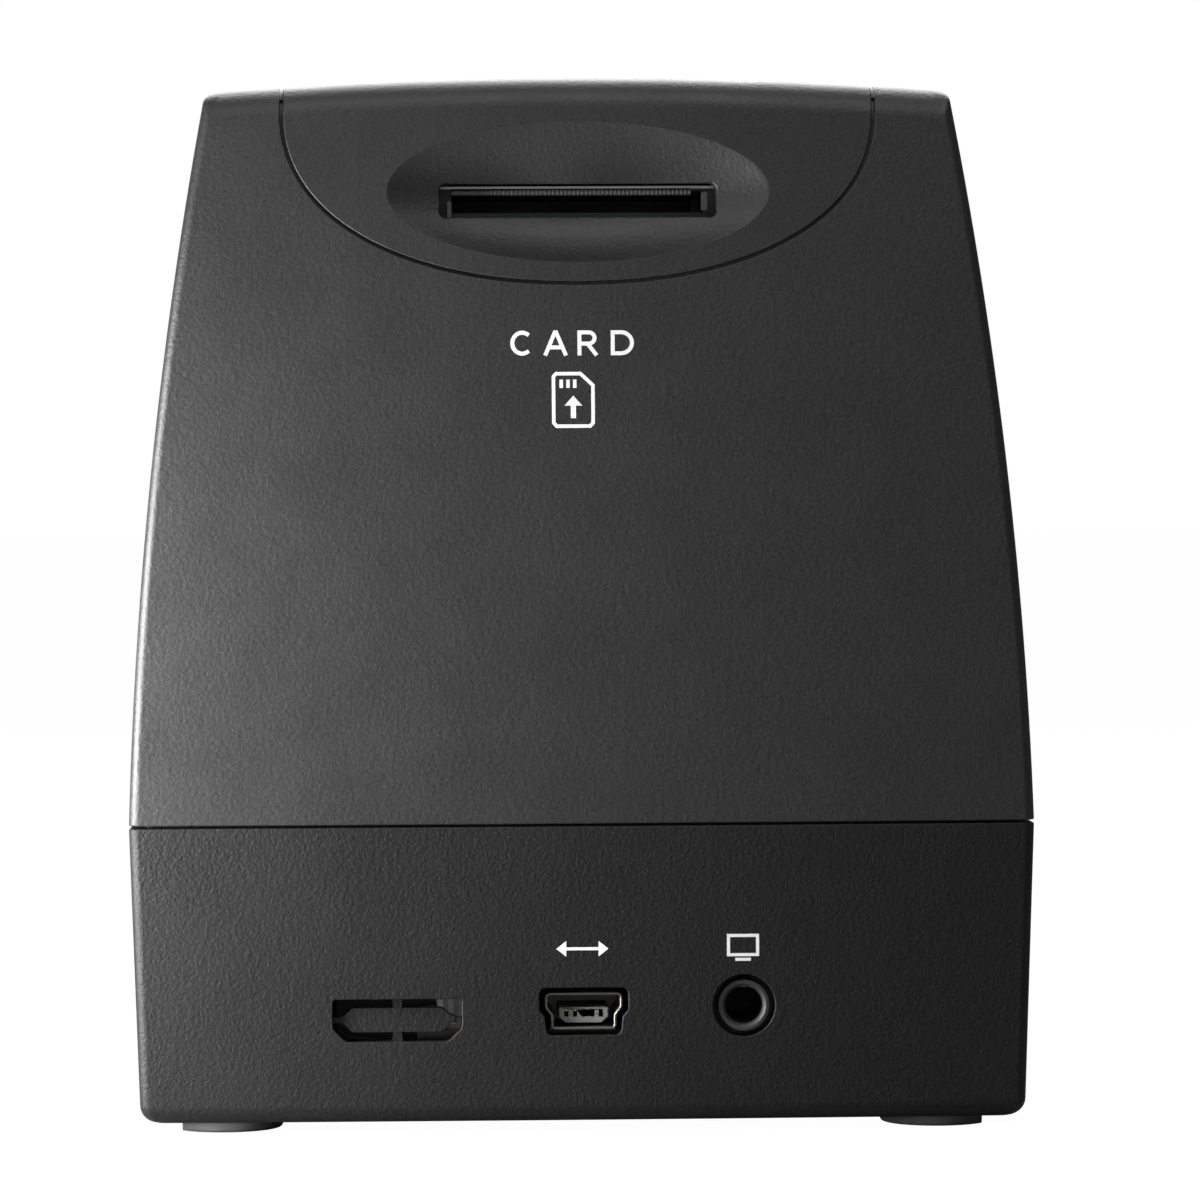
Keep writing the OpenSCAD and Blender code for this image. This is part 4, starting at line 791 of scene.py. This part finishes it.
def seam_cutter():
    """follows the gap round the top panel and softens both its edges"""
    g, found = panel_gap / 2, []

    def cast(start, way):
        found.append(skin_tree.ray_cast(Vector(start), Vector(way))[:2])
    curve = tongue(g)[2:]
    for x, z in curve:
        cast((x, 90, z), (0, -1, 0))
    apron_line = [p for p in apron(g) if p[1] < apron_z + apron_r + 0.01]
    back, front = Vector((float(back_y(tongue_bend)), tongue_bend)), Vector((float(front_y(42)), 42))
    turns = [math.atan2(p.y - 50, p.x - 8) for p in (back, front)]
    turns[1] += 2 * math.pi if turns[1] < 0 else 0
    turns = np.linspace(*turns, 190)[1:-1]
    for a in turns:
        cast((panel_half - g, 8, 50), (0, math.cos(a), math.sin(a)))
    for x, z in apron_line[::-1]:
        cast((x, -90, z), (0, 1, 0))
    for a in turns[::-1]:
        cast((g - panel_half, 8, 50), (0, math.cos(a), math.sin(a)))
    places, normals = np.array([p for p, n in found]), np.array([n for p, n in found])
    keep = np.linalg.norm(places - np.roll(places, 1, 0), axis=1) > 0.05
    places, normals = places[keep], normals[keep]
    normals = normals + 0.5 * (np.roll(normals, 1, 0) + np.roll(normals, -1, 0))
    normals /= np.linalg.norm(normals, axis=1)[:, None]
    along = np.roll(places, -1, 0) - np.roll(places, 1, 0)
    aside = np.cross(normals, along)
    aside /= np.linalg.norm(aside, axis=1)[:, None]
    arc = [(g + seam_r * (1 - math.sin(a)), -seam_r * (1 - math.cos(a))) for a in quarter[::2]]
    profile = [(-g - seam_r, 0.4)] + [(-s, n) for s, n in arc] + arc[::-1] + [(g + seam_r, 0.4)]
    return skinned([[p + aside[i] * s + normals[i] * n for s, n in profile]
                    for i, p in enumerate(places)], loop=True)


tower = piece_of("tower_shell_moulding", [tower_skin])
seat = panel_form("seat", 0)
combine(seat, "DIFFERENCE", tower_form(eave_z, 0.45, 10))
# over the roll at the back the bead rises almost to the skin, so no light shows through the gap
rise = combine(piece_of("rise", [tower_form(eave_z, 0.12, 10)]), "INTERSECT",
               upright(rectangle(-40, 40, 33, 50), 99.4, 103))
combine(seat, "DIFFERENCE", rise)
under_panel = panel_form("under_panel", panel_gap - 0.05)
combine(under_panel, "DIFFERENCE", tower_form(eave_z, panel_t + 0.1, 10))
combine(tower, "DIFFERENCE", tower_form(eave_z - 1, wall, 10),
        skinned([flat_ring(z, wall - lip_t - 0.15, least_r) for z in (parting_z - 1, parting_z, lip_top)]),
        seat, under_panel, panel_form("under_ledge", ledge_w), seam_cutter())

main_x, main_y = 25.0, float(back_y(78)) - 0.6 - wall - 3.9 - 1.6
for mx, my in four_corners:
    x, y = mx * corner_x, my * corner_y
    combine(tower, "UNION", upright(circle(x, y, 3), parting_z, 38),
            upright(rectangle(*sorted((x, mx * 41.6)), y - 0.6, y + 0.6), lip_top, 38))
    combine(tower, "DIFFERENCE", upright(circle(x, y, 1.35), 28, 37))
for x in (main_x, -main_x):
    for z in (42, 78):
        stud = circle(x, z, 1.8)
        combine(tower, "UNION", along_y(stud, main_y + 1.6, float(back_y(z)) - 1.8))
        combine(tower, "DIFFERENCE", along_y(circle(x, z, 0.95), main_y, main_y + 5.2))
on_tower = looking_forward(tower)

tower_black = spark_eroded_abs("black_abs_spark_eroded", "#252526", "#161617", 0.28, 0.045, 0.5)
fitted(finished(tower), tower_black, "shell_black", "tower_shell")

# ---- Top panel ----
# A separate black ABS moulding that wraps from the front over the crown and down the back in a
# tongue. Snap hooks hold it under the tower's ledge. A scoop in the tongue leads a card to its slot.

scoop_w, scoop_h, scoop_z, scoop_pole = 36.8, 13.6, 90.4, slot_z - 0.5
display_s, view_w, view_h = 39.8, 49.0, 36.8
buttons_s, button_pitch, power_y, power_r = 12.8, 9.4, 4.0, 4.2
power_top = float(top_z(np.array([[0, power_y]]))[0])
card_z, front_d = slot_z - 1.5, 5.7
lean_sin, lean_cos = math.sin(math.radians(front_lean)), math.cos(math.radians(front_lean))


def on_front(x, s, out):
    """place on the leaning front: s up along it, out from its skin"""
    return (x, float(front_y(parting_z)) + s * lean_sin - out * lean_cos,
            parting_z + s * lean_cos + out * lean_sin)


def on_crown(x, y, out):
    return (x, y, float(top_z(np.array([[x, y]]))[0]) + out)


def from_front(outline, deep, proud):
    """prism square to the leaning front"""
    return skinned([[on_front(x, s, out) for x, s in outline] for out in (-deep, proud)])


def scoop_point(t, a):
    x = t * scoop_w / 2 * math.cos(a)
    z = scoop_pole + t * (scoop_z + scoop_h / 2 * math.sin(a) - scoop_pole)
    skin = float(back_y(z)) - back_bow * (x / float(half_w(z))) ** 2
    power = 2.6 + (-1.3 if math.sin(a) > 0 else -0.3) * math.sin(a) ** 2
    return x, skin - scoop_deep * (1 - t ** power), z


def scoop_cutter():
    turns = np.radians(np.arange(120) * 3)
    rings = [[scoop_point(t, a) for a in turns]
             for t in (0.03, 0.1, 0.2, 0.3, 0.4, 0.5, 0.58, 0.66, 0.74, 0.8, 0.86, 0.91, 0.95, 0.98)]
    brim = [on_tower_skin(*scoop_point(1.003, a)[::2], 0.0) for a in turns]
    soft = [on_tower_skin(*scoop_point(1.012, a)[::2], 0.04) for a in turns]
    outside = [(x, 50.0, z) for x, y, z in soft]
    near = [tuple(0.35 * np.array(p) + 0.65 * np.array(q)) for p, q in zip(rings[-1], brim)]
    return skinned(rings + [near, brim, soft, outside])


def on_tower_skin(x, z, out):
    hit = skin_tree.ray_cast(Vector((x, 90, z)), Vector((0, -1, 0)))[0]
    return (x, hit.y + out, z)


panel = panel_form("top_panel_moulding", panel_gap)
combine(panel, "INTERSECT", tower_skin)
combine(panel, "DIFFERENCE", tower_form(eave_z - 1, panel_t, 16))
oval = np.column_stack([19 * np.cos(np.radians(np.arange(0, 360, 5))),
                        7.4 * np.sin(np.radians(np.arange(0, 360, 5)))]) + (0, scoop_z)
boss = piece_of("boss", [along_y(oval, socket_y + 0.3, 60)])
combine(panel, "UNION", combine(boss, "INTERSECT", tower_skin))
for way in (1, -1):
    for x, s in ((14.3, 8.6), (24, 63.2)):
        combine(panel, "UNION", from_front(circle(way * x, s, 1.8, 24), front_d, -0.6))
    for y in (socket_y - 22.6, socket_y - 4.6):
        combine(panel, "UNION", upright(circle(way * 17.6, y, 1.8, 24), card_z, on_crown(17.6, y, -0.6)[2]))
    combine(panel, "UNION", upright(circle(way * 9, power_y, 1.8, 24), power_top - front_d, power_top - 0.6))
    for y in (-6, 24):
        x = panel_half - ledge_w - 0.3
        high = on_crown(x, y, 0)[2]
        combine(panel, "UNION", upright(rectangle(*sorted((way * (x - 1), way * x)), y - 2, y + 2),
                                        high - 3.9, high - 0.6),
                upright(rectangle(*sorted((way * (x - 1), way * (x + ledge_w))), y - 2, y + 2),
                        high - 3.9, high - 2.9))
combine(panel, "DIFFERENCE", scoop_cutter())
in_scoop = looking_forward(panel)
slot_hole = rounded([(13.4, 1.7), (-13.4, 1.7), (-13.4, -1.7), (13.4, -1.7)], 0.75, 6) + (0, slot_z)
window_seat = rounded([(26.5, 20.4), (-26.5, 20.4), (-26.5, -20.4), (26.5, -20.4)], 0.7) + (0, display_s)
window_hole = rounded([(24.5, 18.4), (-24.5, 18.4), (-24.5, -18.4), (24.5, -18.4)], 0.5) + (0, display_s)
button_places = [(i * button_pitch, buttons_s - 0.35 * (4 - i * i), 4.0 if i == 0 else 3.2)
                 for i in range(-2, 3)]
combine(panel, "DIFFERENCE", opening(slot_hole, in_scoop, 3.5, 0.14),
        opening(window_seat, on_front, 0.8, 0.12), from_front(window_hole, 2.5, 0.5),
        *[opening(circle(x, s, r + 0.15, 64), on_front, 2.5, 0.14) for x, s, r in button_places],
        opening(circle(0, power_y, power_r + 0.15, 64), on_crown, 2.5, 0.14), seam_cutter())
for way in (1, -1):
    for x, s in ((14.3, 8.6), (24, 63.2)):
        combine(panel, "DIFFERENCE", from_front(circle(way * x, s, 0.95, 16), front_d + 1, -1.5))

panel_black = spark_eroded_abs("black_abs_spark_eroded_fine", "#242425", "#171718", 0.26, 0.036, 0.48)
fitted(finished(panel), panel_black, "panel_black", "top_panel")

# ---- Display ----
# A liquid-crystal panel in a pressed steel frame, on the front board, seen through a clear acrylic
# window whose back is printed black round the picture. The window is stuck into its seat.


def window_acrylic(name):
    """cast acrylic with a polished face: clear over the picture, and glossy black where its back is
    printed"""
    material, shader, mm = started(name, "#f5f7f8", 0.04, 1.49)
    up = add_node(material, "VectorMath", {"operation": "DOT_PRODUCT", 1: (0, lean_sin, lean_cos)}, {0: mm})
    start = -float(front_y(parting_z)) * lean_sin - parting_z * lean_cos
    s = add_node(material, "Math", {"operation": "ADD", 1: start - display_s}, {0: up.outputs["Value"]})
    high = add_node(material, "Math", {"operation": "ABSOLUTE"}, {0: s})
    parts = add_node(material, "SeparateXYZ", None, {0: mm})
    wide = add_node(material, "Math", {"operation": "ABSOLUTE"}, {0: parts.outputs[0]})
    over_s = add_node(material, "Math", {"operation": "GREATER_THAN", 1: view_h / 2 - 0.5}, {0: high})
    over_x = add_node(material, "Math", {"operation": "GREATER_THAN", 1: view_w / 2 - 0.5}, {0: wide})
    inked = add_node(material, "Math", {"operation": "MAXIMUM"}, {0: over_s, 1: over_x})
    clear = add_node(material, "Math", {"operation": "SUBTRACT", 0: 1.0}, {1: inked})
    tint = add_node(material, "Mix",
                    {"data_type": "RGBA", 6: linear("#f5f7f8"), 7: linear("#08080a")}, {0: inked})
    haze = add_node(material, "TexNoise", {"Scale": 0.3, "Detail": 3.0}, {"Vector": mm})
    dull = add_node(material, "MapRange", {"To Min": 0.02, "To Max": 0.07}, {"Value": haze})
    return joined(material, shader, {"Base Color": tint.outputs[2], "Transmission Weight": clear,
                                     "Roughness": dull})


def display_face(name):
    """polariser film over the liquid crystal, switched off: near black, slightly blue, smooth"""
    material, shader, mm = started(name, "#0c0f13", 0.16, 1.5)
    cloud = add_node(material, "TexNoise", {"Scale": 0.06, "Detail": 1.0}, {"Vector": mm})
    tint = add_node(material, "Mix",
                    {"data_type": "RGBA", 6: linear("#0a0c10"), 7: linear("#12171c")}, {0: cloud})
    # the real picture dots are 0.15 mm apart; they are drawn at 0.6 mm so that they show
    dots = add_node(material, "TexVoronoi", {"Scale": 1.7, "Randomness": 0.0}, {"Vector": mm})
    bump = add_node(material, "Bump", {"Strength": 0.1, "Distance": 0.00001}, {"Height": dots})
    return joined(material, shader, {"Base Color": tint.outputs[2], "Normal": bump})


def plate(outline, thick, soft, onto, under):
    """flat plate with a softened outer edge; under is how far its back lies below the skin"""
    rings = [(-under, 0), (-under + thick - soft, 0), (-under + thick - 0.3 * soft, -0.3 * soft),
             (-under + thick, -soft)]
    return skinned([[onto(u, v, out) for u, v in (grown(outline, by) if by else outline)]
                    for out, by in rings])


window_shape = rounded([(26.35, 20.25), (-26.35, 20.25), (-26.35, -20.25), (26.35, -20.25)],
                       0.6) + (0, display_s)
window = piece_of("display_window_plate", [plate(window_shape, 0.74, 0.1, on_front, 0.79)])
fitted(finished(window), window_acrylic("acrylic_cast_back_printed"), "window", "display_window")
refinished(display_face("display_glass_polariser"), "display_glass")
refinished(tin, "display_frame")
refinished(moulded_plastic("black_nylon_moulded", "#19191a", 0.5, 1.53, 2.0, 0.012), "tact_switches",
           "power_switch")

# ---- Buttons ----
# Five caps in a row under the display and a larger one on the crown: ABS sprayed silver, with a soft
# edge and a shallow dish. A flange behind the panel keeps each one in, over its tact switch.


def silver_sprayed(name):
    """silver paint on ABS: a pale metallic ground with fine flakes that glint, under a thin lacquer"""
    material, shader, mm = started(name, "#a9abae", 0.36, 1.5, 0.7)
    # real flakes are about 0.03 mm; they are drawn at 0.12 mm so that they show
    flakes = add_node(material, "TexVoronoi", {"Scale": 8.0}, {"Vector": mm})
    shade = add_node(material, "SeparateXYZ", None, {0: flakes.outputs["Color"]})
    tint = add_node(material, "Mix", {"data_type": "RGBA", 6: linear("#9da0a3"), 7: linear("#b9bbbd")},
                    {0: shade.outputs[0]})
    bump = add_node(material, "Bump", {"Strength": 0.25, "Distance": 0.00001}, {"Height": shade.outputs[1]})
    joined(material, shader, {"Base Color": tint.outputs[2], "Normal": bump})
    shader.inputs["Coat Weight"].default_value = 0.35
    shader.inputs["Coat Roughness"].default_value = 0.1
    return material


def cap(name, r, place):
    """turned outline of a cap with its flange and stem; place(x, y, out) puts it on its skin"""
    outline = [(1.2, -3.2), (1.2, -2.05), (r + 0.5, -2.05), (r + 0.5, -1.45), (r, -1.45), (r, 0.42)]
    outline += [(r - 0.38 * (1 - math.cos(a)), 0.42 + 0.38 * math.sin(a)) for a in quarter[1:]]
    outline += [((r - 0.55) * k, 0.8 - 0.22 * (1 - k * k)) for k in (0.97, 0.85, 0.7, 0.5, 0.3, 0.1)]
    return piece_of(name, [skinned([[place(x, y, z) for x, y in circle(0, 0, ring_r, 64)]
                                    for ring_r, z in outline])])


silver = silver_sprayed("abs_sprayed_silver")
button_names = ("mode_button", "left_button", "ok_button", "right_button", "copy_button")
for (x, s, r), name in zip(button_places, button_names):
    made = cap(name + "_cap", r, lambda u, v, out: on_front(x + u, s + v, out))
    fitted(finished(made), silver, "button_grey", name, body=name)
made = cap("power_button_cap", power_r, lambda u, v, out: (u, power_y + v, power_top + out))
fitted(finished(made), silver, "button_grey", "power_button", body="power_button")

# ---- Printed marks ----
# White two-part ink, pad printed on the skin: a word and a little card under the card slot, signs over
# the sockets and the buttons, and an arrow at each mouth of the film channel.

ink_t = 0.014


def pad_ink(name):
    """pad-printing ink: nearly opaque white, satin, thin enough to follow the skin's grain a little"""
    material, shader, mm = started(name, "#ebebea", 0.5, 1.5)
    thin = add_node(material, "TexNoise", {"Scale": 4.5, "Detail": 3.0}, {"Vector": mm})
    tint = add_node(material, "Mix",
                    {"data_type": "RGBA", 6: linear("#dededd"), 7: linear("#f2f2f1")}, {0: thin})
    bump = add_node(material, "Bump", {"Strength": 0.5, "Distance": 0.000006}, {"Height": thin})
    return joined(material, shader, {"Base Color": tint.outputs[2], "Normal": bump})


def stroke(points, width, closed=False):
    """a drawn line as pairs of points, left and right of it"""
    points = np.asarray(points, float)
    ahead, behind = np.roll(points, -1, 0) - points, points - np.roll(points, 1, 0)
    if not closed:
        ahead[-1], behind[0] = behind[-1], ahead[0]
    a, b = (v / np.linalg.norm(v, axis=1)[:, None] for v in (ahead, behind))
    side = np.column_stack([-(a + b)[:, 1], (a + b)[:, 0]])
    size = np.linalg.norm(side, axis=1)[:, None]
    side = side / size / np.maximum(0.6, size / 2) * width / 2
    return list(zip(points + side, points - side)), closed


def arc(x, y, rx, ry, start, end, steps=12):
    return [(x + rx * math.cos(a), y + ry * math.sin(a))
            for a in np.radians(np.linspace(start, end, steps + 1))]


def arrow_head(x, y, dx, dy, wide, long):
    """filled triangle that points along dx, dy, as one stroke"""
    side = np.array([-dy, dx]) * wide / 2
    tip = np.array([x, y]) + np.array([dx, dy]) * long
    return [((x, y) + side, (x, y) - side), (tip + side * 0.01, tip - side * 0.01)], False


def printed(name, drawn, cx, cy, onto, way=1):
    """ink on a skin; drawn is in millimetres round cx, cy, and way is -1 where right is towards -X"""
    solids = []
    for pairs, closed in drawn:
        rings = [[onto(cx + way * p[0], cy + p[1], out) for p, out in
                  ((left, -0.02), (right, -0.02), (right, ink_t), (left, ink_t))] for left, right in pairs]
        solids.append(skinned(rings, loop=closed))
    made = piece_of(name, solids[:1])
    combine(made, "UNION", *solids[1:])
    fitted(finished(made, 20), ink, "shell_black")


ink = pad_ink("pad_printing_ink_white")
w, h, t = 2.0, 2.4, 0.38
word = [
    stroke(arc(w / 2, h / 2, 0.95, 1.01, 48, 312, 20), t),
    stroke([(3.2, 0), (3.2 + w / 2, h - 0.02)], t), stroke([(3.2 + w / 2, h - 0.02), (3.2 + w, 0)], t),
    stroke([(3.62, 0.78), (4.78, 0.78)], t),
    stroke([(6.5, 0), (6.5, h)], t),
    stroke([(6.4, h - t / 2)] + arc(7.4, h - 0.73, 0.56, 0.54, 90, -90, 10) + [(6.4, h - 1.27)], t),
    stroke([(7.3, h - 1.3), (8.15, 0)], t),
    stroke([(9.7, t / 2), (9.7, h - t / 2)] + arc(10.5, h / 2, 1.05, h / 2 - t / 2, 90, -90, 16), t, True)]
shift = np.array([-5.78, -h / 2])
word = [([(a + shift, b + shift) for a, b in pairs], closed) for pairs, closed in word]
printed("print_card_word", word, 0.75, 75.8, on_tower, -1)

card = [stroke([(-1.65, 2.52), (0.7, 2.52), (1.89, 1.4), (1.89, -2.2), (1.6, -2.52), (-1.6, -2.52),
                (-1.89, -2.2), (-1.89, 2.25)], 0.34, True)]
card += [stroke([(x, 1.95), (x, 1.15)], 0.34) for x in (-1.15, -0.5, 0.15)]
card += [stroke([(0, -1.75), (0, -0.5)], 0.5), arrow_head(0, -0.55, 0, 1, 1.7, 0.95)]
printed("print_card_sign", card, 0.66, 70.33, on_tower, -1)

t = 0.3
two_way = [stroke([(-1.7, 0), (1.7, 0)], t), arrow_head(1.55, 0, 1, 0, 1.5, 0.95),
           arrow_head(-1.55, 0, -1, 0, 1.5, 0.95)]
printed("print_data_sign", two_way, 0.13, 17.7, on_back, -1)
screen = [stroke([(-1.4, 1.1), (1.4, 1.1), (1.4, -0.75), (-1.4, -0.75)], t, True),
          stroke([(-0.75, -1.2), (0.75, -1.2)], t)]
printed("print_picture_sign", screen, -15.3, 17.75, on_back, -1)

t = 0.2
signs = (
    ("mode", [stroke([(-0.75, 0.55), (0.75, 0.55), (0.75, -0.55), (-0.75, -0.55)], t, True),
              stroke([(-0.6, 0), (0.6, 0)], t)]),
    ("left", [arrow_head(0.5, 0, -1, 0, 1.2, 1.0)]),
    ("choose", [stroke(arc(0, 0, 0.5, 0.5, 0, 345, 23), t, True)]),
    ("right", [arrow_head(-0.5, 0, 1, 0, 1.2, 1.0)]),
    ("copy", [stroke([(0, 0.65), (0, 0)], t), arrow_head(0, 0.1, 0, -1, 0.9, 0.5),
              stroke([(-0.6, -0.62), (0.6, -0.62)], t)]))
for (x, s, r), (name, drawn) in zip(button_places, signs):
    printed("print_" + name + "_sign", drawn, x, s + r + 1.55, on_front)
power_sign = [stroke(arc(0, 0, 0.75, 0.75, 125, 415, 28), 0.22), stroke([(0, 0.25), (0, 1.0)], 0.22)]
printed("print_power_sign", power_sign, 0, power_y - power_r - 2.2, on_crown)
for way, name in ((1, "left"), (-1, "right")):
    film = [stroke([(-3.2, 0), (1.4, 0)], 0.4), arrow_head(1.3, 0, 1, 0, 1.9, 1.5)]
    printed("print_film_sign_" + name, film, 0, 17.4, on_base_side(way))

# ---- Studio ----
# A pale table and a white backdrop. A narrow lamp stands close to the scanner, left of its back as the
# camera sees it. Soft ones hang behind the camera and over the back, and a broad one beyond the front.
# Gloss mirrors the backdrop's white only beyond the scanner's front, and a dim room elsewhere.

table_size = 6.0
table_mesh = bpy.data.meshes.new("table")
table_mesh.from_pydata([(x * table_size, y * table_size, 0)
                        for x, y in ((-1, -1), (1, -1), (1, 1), (-1, 1))], [], [(0, 1, 2, 3)])
table = bpy.data.objects.new("table", table_mesh)
bpy.context.scene.collection.objects.link(table)


def pale_table(name):
    """matt laminate, a mid grey to the light that falls on it, so that it throws little back on the
    scanner; the camera sees nine tenths of it as white as the backdrop, so the shadow on it shows faintly"""
    material, shader, mm = started(name, "#8c8c8a", 0.7)
    tree = material.node_tree
    grain = add_node(material, "TexNoise", {"Scale": 0.05, "Detail": 3.0}, {"Vector": mm})
    tint = add_node(material, "Mix",
                    {"data_type": "RGBA", 6: linear("#888886"), 7: linear("#90908e")}, {0: grain})
    joined(material, shader, {"Base Color": tint.outputs[2]})
    glow = add_node(material, "Emission", {"Color": (1, 1, 1, 1), "Strength": 1.09})
    path = add_node(material, "LightPath")
    share = add_node(material, "Math", {"operation": "MULTIPLY", 1: 0.9}, {0: path.outputs["Is Camera Ray"]})
    both = add_node(material, "MixShader", None, {0: share, 1: shader, 2: glow})
    tree.links.new(both.outputs[0], tree.nodes["Material Output"].inputs["Surface"])
    return material


table_mesh.materials.append(pale_table("grey_laminate_matt"))

room = bpy.data.worlds.new("room")
room.use_nodes = True
bpy.context.scene.world = room
path = add_node(room, "LightPath")
way_out = add_node(room, "TexCoord")
parts = add_node(room, "SeparateXYZ", None, {0: way_out.outputs["Generated"]})
aside = add_node(room, "Math", {"operation": "ABSOLUTE"}, {0: parts.outputs[0]})
behind = add_node(room, "MapRange", {"From Min": 0.1, "From Max": -0.35}, {"Value": parts.outputs[1]})
narrow = add_node(room, "MapRange", {"From Min": 0.5, "From Max": 0.12}, {"Value": aside})
panel_seen = add_node(room, "Math", {"operation": "MULTIPLY"}, {0: behind, 1: narrow})
backdrop = add_node(room, "MapRange", {"To Min": 0.12, "To Max": 1.0}, {"Value": panel_seen})
mirrored = add_node(room, "Math", {"operation": "MULTIPLY"}, {0: path.outputs["Is Glossy Ray"], 1: backdrop})
seen = add_node(room, "Math", {"operation": "MAXIMUM"},
                {0: path.outputs["Is Camera Ray"], 1: path.outputs["Is Transmission Ray"]})
shown = add_node(room, "Math", {"operation": "MAXIMUM"}, {0: seen, 1: mirrored})
direct = add_node(room, "Math", {"operation": "MAXIMUM"}, {0: seen, 1: path.outputs["Is Glossy Ray"]})
rest = add_node(room, "Math", {"operation": "MULTIPLY_ADD", 1: -0.12, 2: 0.12}, {0: direct})
strength = add_node(room, "Math", {"operation": "ADD"}, {0: shown, 1: rest})
sky = room.node_tree.nodes["Background"]
sky.inputs["Color"].default_value = (1, 1, 1, 1)
room.node_tree.links.new(strength.outputs[0], sky.inputs["Strength"])


def softbox(name, place, target, wide, high, watts):
    lamp = bpy.data.lights.new(name, "AREA")
    lamp.shape, lamp.size, lamp.size_y, lamp.energy = "RECTANGLE", wide, high, watts
    stand = bpy.data.objects.new(name, lamp)
    bpy.context.scene.collection.objects.link(stand)
    stand.location = place
    stand.rotation_euler = (Vector(target) - Vector(place)).to_track_quat("-Z", "Y").to_euler()
    stand.visible_camera = False


middle = (0, 0, 0.05)
softbox("lamp_left", (0.086, 0.066, 0.038), (0, 0.043, 0.038), 0.03, 0.09, 0.38)
softbox("lamp_camera_side", (0.10, 0.90, 0.30), middle, 0.8, 0.8, 0.55)
softbox("lamp_over", (0.0, 0.17, 0.30), middle, 0.3, 0.12, 0.32)
softbox("lamp_behind", (0.0, -0.45, 0.50), middle, 0.8, 0.4, 6.5)

# ---- Camera ----
# It stands behind the scanner, a little to the left and as high as its middle, with a long lens.

camera = bpy.data.objects.new("camera", bpy.data.cameras.new("camera"))
bpy.context.scene.collection.objects.link(camera)
yaw, tilt, roll = (math.radians(a) for a in (-1.94, 1.20, -0.32))
ahead = Vector((math.sin(yaw) * math.cos(tilt), -math.cos(yaw) * math.cos(tilt), -math.sin(tilt)))
right = ahead.cross(Vector((0, 0, 1))).normalized()
up = right.cross(ahead)
right, up = (math.cos(roll) * right + math.sin(roll) * up, math.cos(roll) * up - math.sin(roll) * right)
stand_point = (0.0171, 0.5995, 0.0628)
camera.matrix_world = (Matrix.Translation(stand_point)
                       @ Matrix((right, up, -ahead)).transposed().to_4x4())
camera.data.sensor_width = 36.0
camera.data.lens = 174.4
camera.data.clip_start = 0.01
bpy.context.scene.camera = camera
bpy.context.scene.view_settings.view_transform = "Standard"
